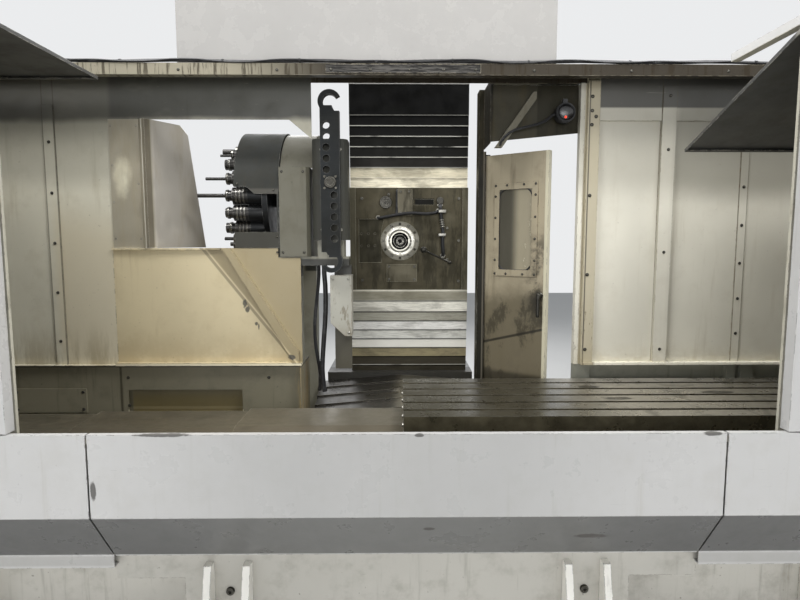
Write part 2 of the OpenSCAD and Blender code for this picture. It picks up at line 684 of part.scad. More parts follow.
// leaves at place j above and below the head, with 0 at the head and y_last at the column;
// the upper ones lap over the one below, so the column's leaf is the outermost there
function up_z(j) = head_z1 + seat + j * up_pitch;
function low_z(j) = head_z0 - seat - y_leaf_l - j * low_pitch;
module y_pair(j) {
    y_leaf(y_last - j, up_z(j));
    y_leaf(j, low_z(j));
}
// the column's own leaves end at its cross piece and at its foot
module y_cover_column_leaves() {
    y_leaf(0, up_z(y_last), cross_z - seat - up_z(y_last));
    y_leaf(y_last, foot_top + seat, low_z(y_last) + y_leaf_l - foot_top - seat);
}
module y_cover_head_leaves() y_pair(0);
module y_cover_1() y_pair(1);
module y_cover_2() y_pair(2);
module y_cover_3() y_pair(3);
module y_cover_4() y_pair(4);
module y_cover_5() y_pair(5);
module y_cover_6() y_pair(6);

// head with its bore, behind the face plate
face_y = -column_front;
head_y0 = face_y + face_t + seat;
head_x0 = col_x0 + upright_w + 10;
head_x1 = col_x1 - upright_w - 10;
nose_y = face_y - 18;
module spindle_head() color([0.42, 0.43, 0.41]) difference() {
    union() {
        // slide that runs on the ways
        span([col_x0 + 6, col_x1 - 6], [head_y0, upright_y - y_way - seat],
            [head_z0 + 2, head_z1 - 2]);
        span([head_x0, head_x1], [upright_y - y_way - 1, head_l], [head_z0 + 14, head_z1 - 14]);
        // nut of the feed screw
        span([y_screw_x - 50, y_screw_x + 50], [head_l - 1, y_screw_y + 44], [head_z0 + 120, head_z0 + 360]);
        rod_y([0, nose_y, spindle_z], nose_r, 120);
    }
    rod_y([0, nose_y - 1, spindle_z], spindle_r + run_fit, head_l - nose_y + 2);
    translate([y_screw_x, y_screw_y, head_z0 + 119]) cylinder(r = screw_r + run_fit, h = 242);
}

// face plate with its recess and pockets
recess_x = [-222, -100];
recess_z = [1434, 1668];
module face_plate() color([0.48, 0.46, 0.38]) difference() {
    union() {
        span([col_x0 + 2, col_x1 - 2], [face_y, face_y + face_t], [head_z0, head_z1]);
        // side strips
        for (x = [col_x0 + 2, col_x1 - 2 - 30])
            span([x, x + 30], [face_y - 8, face_y + 1], [head_z0, head_z1]);
        // lubricator block, bracket and lower plate
        span([-12, 66], [face_y - 30, face_y + 1], [1688, 1826]);
        span([-72, 90], [face_y - 8, face_y + 1], [1330, 1424]);
    }
    rod_y([0, face_y - 40, spindle_z], nose_r + seat, 80);
    along_y(face_y - 1, face_y + 6)
        polygon([[recess_x[0], recess_z[0]], [recess_x[1], recess_z[0]], [recess_x[1], recess_z[1] - 60],
            [recess_x[1] + 14, recess_z[1]], [recess_x[0], recess_z[1]]]);
    span([74, 182], [face_y - 1, face_y + 10], [1744, 1774]);
    for (x = [-208, -171, -136]) for (z = [1524, 1590]) rod_y([x, face_y - 1, z], 6, 16);
}

// spindle with its taper
taper_l = 102;
taper_slope = 7 / 24 / 2;
spindle_front = nose_y - 10;
spindle_l = head_l - spindle_front;
module spindle() color([0.75, 0.75, 0.75]) translate([0, spindle_front, spindle_z]) rotate([-90, 0, 0])
    difference() {
        union() {
            cylinder(r = spindle_r, h = spindle_l);
            // drive keys
            for (s = [-1, 1]) translate([s * 56 - 12, -9, -8]) cube([24, 18, 10]);
        }
        translate([0, 0, -0.01]) cylinder(r1 = taper_r, r2 = taper_r - taper_l * taper_slope, h = taper_l);
        translate([0, 0, -1]) cylinder(r1 = taper_r + 13, r2 = taper_r, h = 8);
        cylinder(r = 14, h = 260);
    }
module spindle_motor() color([0.20, 0.21, 0.22]) {
    rod_y([0, head_l + seat, spindle_z], 130, 300);
    span([-135, 135], [head_l + seat, head_l + 30], [spindle_z - 135, spindle_z + 135]);
}

// tool changer: housing, shaft and arm
arm_y0 = 705;
house_x = [-arm_x - 88, -arm_x + 71];
house_y = [-656, -548];
house_z = [1554, 1996];
module arm_housing() color([0.33, 0.36, 0.39]) difference() {
    translate([0, 0, house_z[0]]) linear_extrude(house_z[1] - house_z[0]) union() {
        translate([house_x[0], house_y[0] + 30]) square([house_x[1] - house_x[0], house_y[1] - house_y[0] - 30]);
        translate([house_x[0] + 30, house_y[0]]) square([house_x[1] - house_x[0] - 60, 60]);
        for (x = [house_x[0] + 30, house_x[1] - 30]) translate([x, house_y[0] + 30]) circle(r = 30);
    }
    rod_y([-arm_x, house_y[0] - 1, arm_z], 30 + run_fit, house_y[1] - house_y[0] + 2);
}
shaft_tail = 130;
module arm_shaft() color([0.60, 0.60, 0.60])
    rod_y([-arm_x, -arm_y0 + 6, arm_z], 30, arm_y0 - 6 + house_y[1] + shaft_tail);
bar_l = arm_r - grip_r - 10;
module arm_half() {
    translate([-arm_w / 2, 0]) square([arm_w, bar_l]);
    // hook round the tool groove, open to one side
    difference() {
        translate([0, arm_r]) circle(r = grip_r + hook_w);
        translate([0, arm_r]) circle(r = grip_r);
        translate([0, arm_r]) rotate(-62) square([120, 64]);
    }
    translate([-arm_w / 2, bar_l - 1]) square([arm_w * 0.62, 24]);
}
module tool_arm() color([0.20, 0.22, 0.24]) difference() {
    translate([-arm_x, 0, arm_z]) along_y(-arm_y0, -arm_y0 + arm_t) difference() {
        union() {
            arm_half();
            rotate(180) arm_half();
            circle(r = 44);
        }
        for (s = [0, 180]) rotate(s) for (i = [1:5])
            translate([-16, i * arm_hole_pitch + 8]) circle(r = arm_hole_r);
    }
    rod_y([-arm_x, -arm_y0 + 6 - 0.01, arm_z], 30 + run_fit, arm_t);
}

// magazine frame, guards, drum and tools
mag_x0 = -736;
guard_x1 = -538;
rack_top = 1480;
rack_plate = 40;
rack_x = [-700, -530];
rack_y = [-640, -140];
rack_post = 80;
rack_tie = 60;
rack_tie_z = [200, 260];
module magazine_frame() color([0.34, 0.36, 0.37]) {
    tie_in = (rack_post - rack_tie) / 2;
    for (x = rack_x) for (y = rack_y)
        span([x, x + rack_post], [y, y + rack_post], [0, rack_top - rack_plate + 1]);
    for (x = rack_x)
        span([x + tie_in, x + tie_in + rack_tie], [rack_y[0] + rack_post - 1, rack_y[1] + 1], rack_tie_z);
    for (y = rack_y)
        span([rack_x[0] + rack_post - 1, rack_x[1] + 1], [y + tie_in, y + tie_in + rack_tie], rack_tie_z);
    difference() {
        span([rack_x[0], rack_x1], [rack_y[0], rack_y[1] + rack_post], [rack_top - rack_plate, rack_top]);
        span([rack_x[0] + 60, rack_x[1] + 20], [rack_y[0] + 100, rack_y[1] - 20],
            [rack_top - rack_plate - 1, rack_top + 1]);
    }
    // tie to the bed
    span([rack_x1 - 1, -z_bed_w / 2 - seat], [rack_y[0] + tie_in, rack_y[0] + tie_in + rack_tie], rack_tie_z);
    // bracket under the arm housing, with its plate down to the splash box
    span([rack_x1 - 1, house_x[1]], [rack_y[0], house_y[1]], [rack_top - rack_plate, rack_top]);
    span([house_x[0] + 20, house_x[1] - 20], [rack_y[0], house_y[1]], [rack_top - 1, house_z[0] - seat]);
    span([-305, -226], [-560, -552], [950, rack_top - rack_plate + 1]);
    // drum bearing block
    span([-536, -470], [-mag_y - 70, -mag_y + 70], [rack_top - 1, mag_z + 70]);
}
// outline with its wall inset by t: round above, straight below, stepped in over the chute panel
guard_low = rack_top + seat;
guard_step_z = win_z0 + 1;
guard_step = 8;
module guard_shape(t) {
    r = guard_r - t;
    intersection() {
        translate([-mag_y, mag_z]) circle(r = r, $fn = 72);
        translate([-mag_y - r, mag_z - 1]) square([2 * r, r + 1]);
    }
    translate([-mag_y - r, guard_step_z + t]) square([2 * r, mag_z - guard_step_z - t]);
    translate([-mag_y - r + guard_step, guard_low + t]) square([2 * r - guard_step, mag_z - guard_low - t]);
}
module magazine_guard() color([0.30, 0.31, 0.31]) difference() {
    along_x(mag_x0, guard_x1) guard_shape(0);
    along_x(mag_x0 - 1, guard_x1 + 1) guard_shape(sheet_t);
    // window in the front, with its slanted corner
    along_y(-mag_y - guard_r - 1, -mag_y - guard_r + 60)
        polygon([[mag_x0 - 1, 1590], [guard_x1 - 8, 1590], [guard_x1 - 8, 1758], [-645, 1758],
            [-680, 1790], [mag_x0 - 1, 1790]]);
    // lower rear is open
    span([mag_x0 - 1, guard_x1 + 1], [-mag_y + 120, -mag_y + guard_r + 1], [rack_top + 60, mag_z]);
}
box_top = 1875;
module box_guard() color([0.44, 0.43, 0.40]) {
    difference() {
        translate([0, 0, rack_top + seat]) linear_extrude(box_top - rack_top)
            polygon([[-535, -655], [-415, -655], [-400, -640], [-400, -150], [-535, -150]]);
        translate([0, 0, rack_top]) linear_extrude(box_top - 4 - rack_top)
            polygon([[-531, -651], [-418, -651], [-404, -638], [-404, -149], [-531, -149]]);
        // side opening for the drum shaft
        span([-536, -529], [-mag_y - 90, -mag_y + 90], [rack_top - 1, mag_z + 90]);
    }
    // round cover over it, from the guard to the arm housing
    difference() {
        along_x(-535, house_x[0] - seat) half_round(guard_r - 8);
        along_x(-536, house_x[0] - seat - sheet_t) half_round(guard_r - 8 - sheet_t);
    }
}
// upper part of a disc round the magazine's axis, in front of the box's back
module half_round(r) intersection() {
    translate([-mag_y, mag_z]) circle(r = r, $fn = 72);
    translate([-mag_y - guard_r, box_top - 1]) square([guard_r + mag_y - 150, guard_r]);
}
disc_x = -626;
module magazine_drum() color([0.16, 0.17, 0.18]) {
    rod_x([disc_x, -mag_y, mag_z], 262, 26);
    rod_x([disc_x, -mag_y, mag_z], 40, -disc_x - 536 - seat);
    rod_x([-663, -mag_y, mag_z], 58, 40);
    for (i = [0:pot_n - 1]) rotate_pot(i) {
        rod_x([-690, 0, 0], pot_r, 66);
        rod_x([-640, 0, 0], 14, 20);
    }
}
module rotate_pot(i) translate([0, -mag_y, mag_z]) rotate([i * 360 / pot_n, 0, 0])
    translate([0, -pot_circle, 0]) children();
// tool holders in the pots: flange, collet and shank, each of its own length
tool_len = [134, 10, 20, 50, 25, 67, 17, 80, 34, 100, 17, 42, 25, 34, 67, 59, 17, 99];
tool_r = [9, 22, 24, 8, 26, 10, 24, 12, 20, 14, 24, 16, 22, 18, 14, 6, 24, 7];
module tools() color([0.22, 0.22, 0.22]) for (i = [0:pot_n - 1]) rotate_pot(i) {
    rod_x([-690 - seat - 70, 0, 0], pot_r - 4, 70);
    rod_x([-690 - seat - 70 - 30, 0, 0], 24, 31);
    rod_x([-690 - seat - 99 - tool_len[i], 0, 0], tool_r[i], tool_len[i]);
}

// white splash box with its cut corner, and the hoses beside it
module splash_box() color([0.82, 0.81, 0.76]) along_y(-650, -560 - seat)
    polygon([[-315, 1180], [-250, 1120], [-219, 1120], [-219, 1395], [-315, 1395]]);
hose_z = [rack_top - rack_plate - seat, 1400, 1350, 1290, 1230, 1170, 1110, 1050, 1000, 960, 920, 880, 850];
hose_route_a = [for (i = [0:12]) [-352 + 10 * sin(max(i, 1) * 30), -600, hose_z[i]]];
hose_route_b = [for (i = [0:12]) [-386 + 12 * sin(max(i, 1) * 38 + 60), -580, hose_z[i]]];
module hoses() color([0.06, 0.06, 0.06]) {
    tube(hose_route_a, 11, 10);
    tube(hose_route_b, 8);
}

// sliding doors, with a hollow back and a handle
door_out = end_in - 8;
flap_y = 1530;
flap_pin_r = 9;
flap_lip = 12;
door_drop = 60;
strut_w = 30;
strut_up = 10;
strut_t = 28;
lead_w = 35;
lead_t = 12;
// hinge_z is the height of the hinge of the flap over the door
module right_door_form(hinge_z, strut_x, strut_end) {
    door_top = hinge_z - door_drop;
    pin_face = -flap_y - flap_pin_r - seat;
    difference() {
        span([door_half, door_out], [-door_y0, -door_y0 + door_t], [door_low, door_top]);
        span([door_half + lead_w + 5, door_out - 40], [-door_y0 + 8, -door_y0 + door_t + 1],
            [door_low + 40, door_top - 40]);
        // thin leading edge, and a flush pull in the front
        span([door_half - 1, door_half + lead_w], [-door_y0 + lead_t, -door_y0 + door_t + 1],
            [door_low - 1, door_top + 1]);
        span([door_half + 60, door_half + 100], [-door_y0 - 1, -door_y0 + 5], [1250, 1450]);
    }
    // hinge flange and the struts that run back over the roof flap
    span([door_half, door_out], [-door_y0, pin_face], [door_top - 1, hinge_z + strut_up + 1]);
    for (x = strut_x)
        span([x, x + strut_w], [-door_y0, -strut_end], [hinge_z + strut_up, hinge_z + strut_up + strut_t]);
}
module right_door() color([0.83, 0.82, 0.78]) 
    right_door_form(right_flap_z, [door_half, door_out - strut_w], 1174);
module left_door() color([0.83, 0.82, 0.78]) mirror([1, 0, 0])
    right_door_form(left_flap_z, [door_out - strut_w], flap_y - left_flap_l + 60);

// roof flaps, hinged at the front on the doors
module flap_form(l) {
    along_x(door_half, door_out)
        fold([[0, 0], [l, 0], [l, -flap_lip], [l - 14, -flap_lip]], -wall_t);
    span([door_half, door_half + wall_t], [2, l - 2], [-flap_lip, 0]);
    rod_x([door_half + 2, 0, 0], flap_pin_r, door_out - door_half - 4);
}
module left_roof_flap() color([0.24, 0.25, 0.25])
    translate([0, -flap_y, left_flap_z]) mirror([1, 0, 0]) flap_form(left_flap_l);
module right_roof_flap() color([0.24, 0.25, 0.25])
    translate([0, -flap_y, right_flap_z]) rotate([-flap_droop, 0, 0]) flap_form(right_flap_l);

// service door with its window, ajar
service_t = 28;
glass_x = [80, 258];
glass_z = [1409, 1796];
module at_hinge() translate([hinge_x, -hinge_y, 0]) rotate([0, 0, -service_open]) children();
module service_door() color([0.58, 0.56, 0.48]) at_hinge() {
    // hinge pins
    for (z = [service_z0 - seat - lug_t, service_z1 - 1])
        translate([0, 0, z]) cylinder(r = hinge_pin_r, h = lug_t + seat + 1);
    // barrel that joins the pins to the frame
    translate([0, -hinge_pin_r - 2, service_z0]) cylinder(r = hinge_pin_r + 2, h = service_z1 - service_z0);
    difference() {
        span([0, service_w], [-service_t, 0], [service_z0, service_z1]);
        span([20, service_w - 20], [-service_t + 4, 1], [service_z0 + 20, service_z1 - 20]);
        span(glass_x, [-service_t - 1, 1], glass_z);
    }
    // raised window frame
    difference() {
        span([glass_x[0] - 24, glass_x[1] + 24], [-service_t - 6, -service_t + 4],
            [glass_z[0] - 24, glass_z[1] + 24]);
        span([glass_x[0] + 6, glass_x[1] - 6], [-service_t - 7, 5], [glass_z[0] + 6, glass_z[1] - 6]);
        span(glass_x, [-service_t, 5], glass_z);
    }
}
module service_window() color([0.80, 0.84, 0.84, 0.5]) at_hinge()
    span([glass_x[0] + seat, glass_x[1] - seat], [-service_t + seat, -service_t + 6],
        [glass_z[0] + seat, glass_z[1] - seat]);

bed();
leveling_feet();
front_apron();
side_aprons();
apron_gussets();
door_sill();
end_walls();
left_wall();
window_panel();
chute_panel();
lower_left_panel();
right_wall();
lower_right_panel();
roof_beam();
top_panel();
cable_bundle();
right_hood();
work_lamp();
lamp_cable();
x_cover_fixed_leaves();
z_cover_front();
feed_screws();
magazine_frame();
magazine_guard();
box_guard();
arm_housing();
splash_box();
hoses();
table();
x_cover_table_leaves();
x_cover_1();
x_cover_2();
column();
z_cover_4();
y_cover_column_leaves();
column_screw();
z_cover_1();
z_cover_2();
z_cover_3();
spindle_head();
face_plate();
y_cover_head_leaves();
spindle_motor();
y_cover_1();
y_cover_2();
y_cover_3();
y_cover_4();
y_cover_5();
y_cover_6();
spindle();
arm_shaft();
tool_arm();
magazine_drum();
tools();
left_door();
right_door();
left_roof_flap();
right_roof_flap();
service_door();
service_window();
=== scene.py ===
import math

import bmesh
import bpy
from mathutils import Matrix, Vector


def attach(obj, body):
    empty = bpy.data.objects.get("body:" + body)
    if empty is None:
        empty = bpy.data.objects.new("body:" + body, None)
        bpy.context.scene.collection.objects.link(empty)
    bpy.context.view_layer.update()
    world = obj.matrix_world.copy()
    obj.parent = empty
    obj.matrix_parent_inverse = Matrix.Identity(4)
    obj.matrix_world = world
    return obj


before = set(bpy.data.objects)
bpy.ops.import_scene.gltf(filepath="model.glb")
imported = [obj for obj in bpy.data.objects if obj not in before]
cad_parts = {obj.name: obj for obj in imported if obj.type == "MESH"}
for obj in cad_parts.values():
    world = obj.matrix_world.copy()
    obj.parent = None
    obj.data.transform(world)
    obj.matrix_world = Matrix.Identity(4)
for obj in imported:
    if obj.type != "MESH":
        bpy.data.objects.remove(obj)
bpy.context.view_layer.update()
scene = bpy.context.scene
X, Y, Z = 0, 1, 2

# ---------------------------------------------------------------- camera
cam_data = bpy.data.cameras.new("camera")
LENS, SENSOR, YAW = 26.0, 36.0, math.radians(0.65)
cam_data.lens, cam_data.sensor_width = LENS, SENSOR
cam_data.shift_x = -math.tan(YAW) * LENS / SENSOR     # keeps the spindle where the photo has it
cam_data.clip_end = 60.0
camera = bpy.data.objects.new("camera", cam_data)
scene.collection.objects.link(camera)
camera.location = (0.0, -3.25, 1.55)
camera.rotation_euler = (math.radians(90 - 5.83), 0.0, -YAW)
scene.camera = camera


# ---------------------------------------------------------------- materials
class Mat:
    """One node material. Patterns are made in the object's own space, in metres; c is the colour so far."""

    def __init__(self, name, rough=0.5, metal=0.0, spec=0.5, coat=0.0):
        self.m = bpy.data.materials.new(name)
        self.m.use_nodes = True
        self.n = self.m.node_tree.nodes
        self.l = self.m.node_tree.links
        self.b = self.n["Principled BSDF"]
        self.fill(self.b, Roughness=rough, Metallic=metal, Specular_IOR_Level=spec, Coat_Weight=coat)
        self.pos = self.node("TexCoord").outputs["Object"]
        self.axes = self.height = self.c = None

    def put(self, value, socket):
        if isinstance(value, bpy.types.NodeSocket):
            self.l.new(value, socket)
        else:
            socket.default_value = value

    def fill(self, node, **inputs):
        for name, value in inputs.items():
            self.put(value, node.inputs[name.replace("_", " ")])

    def node(self, kind, **inputs):
        """A new node with its inputs; _ stands for the space in an input's name."""
        node = self.n.new("ShaderNode" + kind)
        self.fill(node, **inputs)
        return node

    def calc(self, kind, op, *values):
        node = self.node(kind)
        node.operation = op
        for value, socket in zip(values, node.inputs):
            self.put(value, socket)
        return node

    def math(self, op, a, b=0.0):
        return self.calc("Math", op, a, b).outputs[0]

    def xyz(self, i):
        if self.axes is None:
            self.axes = self.node("SeparateXYZ", Vector=self.pos).outputs
        return self.axes[i]

    def scaled(self, stretch=(1, 1, 1), shift=(0, 0, 0), turn=(0, 0, 0)):
        return self.node("Mapping", Scale=stretch, Location=shift, Rotation=turn, Vector=self.pos).outputs[0]

    def noise(self, scale, detail=4.0, rough=0.55, warp=0.0, **place):
        return self.node("TexNoise", Scale=scale, Detail=detail, Roughness=rough, Distortion=warp,
                         Vector=self.scaled(**place)).outputs["Fac"]

    def cells(self, scale):
        return self.node("TexVoronoi", Scale=scale, Vector=self.scaled()).outputs["Distance"]

    def step(self, value, lo, hi):
        """0 below lo, 1 above hi, smooth between; lo may be larger than hi."""
        node = self.node("MapRange", Value=value, From_Min=lo, From_Max=hi)
        node.interpolation_type = "SMOOTHSTEP"
        return node.outputs["Result"]

    def at(self, axis, lo, hi):
        return self.step(self.xyz(axis), lo, hi)

    def blots(self, lo, hi, *noise, **more):
        return self.step(self.noise(*noise, **more), lo, hi)

    def both(self, a, *masks):
        for b in masks:
            a = self.math("MULTIPLY", a, b)
        return a

    def either(self, a, b):
        return self.math("MAXIMUM", a, b)

    def plus(self, a, b, k):
        """a + b * k"""
        return self.math("ADD", a, self.both(b, k))

    def mix(self, fac, a, b):
        node = self.n.new("ShaderNodeMix")
        node.data_type = "RGBA"
        self.put(fac, node.inputs["Factor"])
        for value, socket in ((a, node.inputs[6]), (b, node.inputs[7])):
            self.put((*value, 1.0) if isinstance(value, tuple) else value, socket)
        return node.outputs[2]

    def lay(self, mask, color, k=None):
        """Lays a colour over the one so far where the mask is 1, k strong."""
        self.c = self.mix(mask if k is None else self.both(mask, k), self.c, color)

    def band(self, axis, lo, hi, soft):
        return self.band_of(self.xyz(axis), lo, hi, soft)

    def band_of(self, value, lo, hi, soft):
        return self.both(self.step(value, lo - soft, lo + soft), self.step(value, hi + soft, hi - soft))

    def spot(self, p, r, wobble=0.5, scale=40.0, soft=0.3):
        """A ragged patch round the point p, with a radius r for each axis."""
        away = self.calc("VectorMath", "SUBTRACT", self.pos, p).outputs[0]
        away = self.calc("VectorMath", "MULTIPLY", away, [1.0 / v for v in r]).outputs[0]
        length = self.calc("VectorMath", "LENGTH", away).outputs["Value"]
        rag = self.both(self.math("SUBTRACT", self.noise(scale, 5, 0.65), 0.5), 2.0 * wobble)
        return self.step(self.math("ADD", length, rag), 1.0, 1.0 - soft)

    def radius(self, x, z):
        """Distance from the line along Y through x, z."""
        dx = self.math("SUBTRACT", self.xyz(X), x)
        dz = self.math("SUBTRACT", self.xyz(Z), z)
        return self.math("SQRT", self.math("ADD", self.both(dx, dx), self.both(dz, dz)))

    def edges(self, width):
        """1 on the outer edges of the solid."""
        bevel = self.node("Bevel", Radius=width)
        bevel.samples = 4
        normal = self.node("NewGeometry").outputs["Normal"]
        dot = self.calc("VectorMath", "DOT_PRODUCT", bevel.outputs[0], normal).outputs["Value"]
        return self.step(self.math("SUBTRACT", 1.0, dot), 0.02, 0.12)

    def bump(self, height, strength, distance):
        node = self.node("Bump", Strength=strength, Distance=distance, Height=height)
        if self.height:
            self.l.new(self.height, node.inputs["Normal"])
        self.height = node.outputs["Normal"]
        self.l.new(self.height, self.b.inputs["Normal"])

    def out(self, color, rough=None):
        self.l.new(color, self.b.inputs["Base Color"])
        if rough:
            self.l.new(rough, self.b.inputs["Roughness"])
        return self.m


def shade(c, k):
    return tuple(min(1.0, v * k) for v in c)


def sheen(color):
    """Specular level: a dark, oily or dusty surface reflects less of the pale room than a light one."""
    return min(0.5, 0.06 + 2.2 * sum(color) / 3)


def paint(name, color, rough=0.42, stain=(0.16, 0.13, 0.08), grime=0.35, streak=0.35, chip=0.5,
          bare=(0.05, 0.05, 0.05), vary=0.06, spots=(), extra=None, peel=0.12):
    """Old sheet paint: mottling, coolant streaks, grime, chipped edges and an orange-peel surface."""
    m = Mat(name, rough, spec=sheen(color))
    wide = m.noise(1.3, 4, 0.6)
    fine = m.noise(9.0, 6, 0.65, shift=(3, 1, 7))
    m.c = m.mix(m.step(wide, 0.3, 0.7), shade(color, 1 - vary), shade(color, 1 + vary))
    m.lay(m.step(fine, 0.48, 0.72), stain, grime * 0.6)
    runs = m.noise(6.0, 5, 0.6, stretch=(5.0, 5.0, 0.35), shift=(2, 5, 1))
    m.lay(m.both(m.step(runs, 0.54, 0.74), m.step(wide, 0.35, 0.6)), stain, streak)
    if extra:
        extra(m)
    speck = m.noise(70.0, 3, 0.5, shift=(9, 9, 9))
    m.lay(m.step(speck, 0.70, 0.76), shade(stain, 0.5), grime)
    scratch = m.noise(16.0, 3, 0.7, stretch=(0.6, 1.0, 14.0), shift=(4, 2, 8), warp=0.6)
    m.lay(m.step(scratch, 0.70, 0.74), shade(color, 0.55), 0.35)
    worn = m.both(m.edges(0.004), m.blots(0.62 - 0.2 * chip, 0.66 - 0.2 * chip, 26.0, 5, 0.7))
    for p, r in spots:
        worn = m.either(worn, m.spot(p, r))
    m.lay(worn, bare, 0.85)
    m.bump(m.noise(160.0, 2, 0.5), peel, 0.0004)
    m.bump(m.math("SUBTRACT", 1.0, worn), 0.35, 0.0006)
    r = m.math("ADD", m.both(m.step(fine, 0.35, 0.75), 0.22), rough - 0.08)
    return m.out(m.c, m.math("ADD", r, m.both(worn, 0.15)))


def steel(name, color, rough=0.3, metal=1.0, grain=(1, 1, 1), grain_k=0.10, dirt=(0.03, 0.026, 0.018),
          dirt_k=0.4, extra=None, edge=None, dent=0.05, spec=None):
    """Ground or rolled steel: a fine grain, oil film, dirt and bright worn edges."""
    m = Mat(name, rough, metal, sheen(color) if spec is None else spec)
    hair = m.noise(22.0, 4, 0.7, stretch=grain)
    wide = m.noise(2.2, 5, 0.6, shift=(5, 3, 1), warp=0.4)
    m.c = m.mix(m.step(hair, 0.3, 0.7), shade(color, 1 - grain_k), shade(color, 1 + grain_k))
    film = m.step(wide, 0.45, 0.72)
    m.lay(film, dirt, dirt_k)
    if extra:
        extra(m)
    if edge:
        m.lay(m.edges(0.003), edge, 0.8)
    m.bump(hair, 0.10, 0.0002)
    m.bump(m.noise(3.0, 3, 0.5, shift=(1, 8, 2)), dent, 0.01)
    r = m.math("ADD", m.both(m.blots(0.3, 0.7, 12.0, 5, 0.65, shift=(2, 2, 6)), 0.22), rough - 0.08)
    return m.out(m.c, m.math("ADD", r, m.both(film, 0.08)))


def assign(material, *nodes):
    for node in nodes:
        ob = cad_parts[node]
        ob.data.materials.clear()
        ob.data.materials.append(material)


OIL = (0.05, 0.042, 0.028)
SPINDLE_Z = 1.55
RIB_SLOPE, RIB = 0.785, (0.318, 0.330)     # the chute's rib runs where x + RIB_SLOPE * z lies between these


def apron_extra(m):
    # the apron's grey lower band, darkened further as painted shade on its downward-facing slope
    grey = m.band(Z, 0.545, 0.728, 0.002)
    front = m.at(Y, -1.45, -1.47)
    m.lay(m.both(grey, front), (0.062, 0.062, 0.060), 0.92)
    middle = m.both(m.band(X, -0.60, 0.60, 0.35), front)
    m.lay(middle, (0.22, 0.22, 0.21), 0.34)
    # painted shade on the apron's downward-facing fold
    m.lay(m.band(Z, 0.505, 0.538, 0.004), (0.25, 0.24, 0.21), 0.35)
    drip = m.both(m.blots(0.58, 0.72, 5.0, 5, 0.7, stretch=(6, 6, 0.3), shift=(0, 1, 3)), m.at(Z, 0.90, 1.0))
    m.lay(drip, (0.28, 0.26, 0.21), 0.3)


apron_paint = paint("apron_paint", (0.525, 0.52, 0.51), 0.34, stain=(0.33, 0.31, 0.26), grime=0.22,
                    streak=0.3, chip=0.55, bare=(0.05, 0.045, 0.04), vary=0.03, extra=apron_extra,
                    spots=[((-0.907, -1.60, 0.815), (0.010, 0.02, 0.035)),
                           ((0.087, -1.55, 0.672), (0.022, 0.05, 0.008)),
                           ((0.055, -1.60, 0.981), (0.016, 0.02, 0.006)),
                           ((0.595, -1.52, 0.632), (0.06, 0.06, 0.012)),
                           ((-0.695, -1.60, 0.984), (0.09, 0.02, 0.006)),
                           ((0.925, -1.60, 0.983), (0.03, 0.02, 0.008))])
assign(apron_paint, "front_apron", "side_aprons", "end_walls")


def gusset_extra(m):
    low = m.both(m.at(Z, 0.35, 0.05), m.blots(0.35, 0.65, 7.0, 5, 0.7))
    m.lay(low, (0.10, 0.09, 0.07), 0.75)


assign(paint("gusset_paint", (0.86, 0.84, 0.78), 0.45, stain=(0.2, 0.18, 0.14), chip=0.8, extra=gusset_extra),
       "apron_gussets")


def bed_extra(m):
    gusset_extra(m)
    top = m.at(Z, 0.552, 0.558)
    m.lay(top, (0.10, 0.09, 0.07), 0.8)
    way = m.at(Z, 0.592, 0.597)
    m.lay(way, (0.30, 0.29, 0.27))


assign(paint("bed_paint", (0.46, 0.445, 0.40), 0.5, stain=(0.14, 0.12, 0.09), grime=0.5, streak=0.5, chip=0.7,
             bare=(0.08, 0.06, 0.045), extra=bed_extra), "bed")
assign(steel("foot_metal", (0.16, 0.16, 0.16), 0.45, 0.9, edge=(0.35, 0.33, 0.30)), "leveling_feet")
assign(paint("sill_paint", (0.14, 0.135, 0.115), 0.5, stain=OIL, grime=0.6, streak=0.4, chip=0.6),
       "door_sill")


def left_extra(m):
    # painted shadow under the roof beam: the wall's top band is darkened, darker still towards its left end,
    # with lighter diagonal slashes of painted light across it
    dark = m.step(m.plus(m.xyz(Z), m.noise(3.0), 0.06), 2.085, 2.125)
    m.lay(dark, (0.036, 0.037, 0.032), 0.93)
    m.lay(m.both(dark, m.at(X, -1.45, -1.75)), (0.022, 0.022, 0.020), 0.75)
    lit_slash = m.noise(3.5, 3, 0.6, stretch=(1.0, 1, 2.2), shift=(2, 0, 4), turn=(0, 0.9, 0))
    streak = m.both(dark, m.step(lit_slash, 0.56, 0.70))
    m.lay(streak, (0.20, 0.19, 0.16), 0.35)
    rise = m.plus(m.xyz(Z), m.xyz(X), 0.25)
    beige = m.both(m.step(rise, 1.42, 1.18), m.at(X, -1.56, -1.50))
    m.lay(beige, (0.66, 0.59, 0.43), 0.8)
    # painted shade: the wall is darker above about 1.8 m towards its left end
    upper_shadow = m.both(m.step(m.plus(m.xyz(Z), m.noise(2.0), 0.12), 1.80, 1.92), m.at(X, -1.25, -1.28))
    m.lay(upper_shadow, (0.22, 0.21, 0.17), 0.45)
    slant = m.plus(m.xyz(X), m.xyz(Z), RIB_SLOPE)
    olive = m.both(m.step(slant, *RIB), m.both(m.at(X, -0.90, -0.89), m.at(Z, 1.53, 1.52)))
    m.lay(olive, (0.22, 0.18, 0.10), 0.88)
    low = m.both(m.at(Z, 1.22, 1.0), m.blots(0.4, 0.62, 5.0, 5, 0.7, stretch=(3, 3, 0.5)))
    m.lay(low, (0.30, 0.24, 0.13), 0.55)
    seam = m.either(m.band(X, -1.558, -1.553, 0.0012), m.band(X, -1.509, -1.504, 0.0012))
    m.lay(seam, (0.08, 0.07, 0.05), 0.7)


assign(paint("left_wall_paint", (0.66, 0.63, 0.51), 0.45, stain=(0.38, 0.33, 0.22), streak=0.4,
             extra=left_extra), "left_wall")


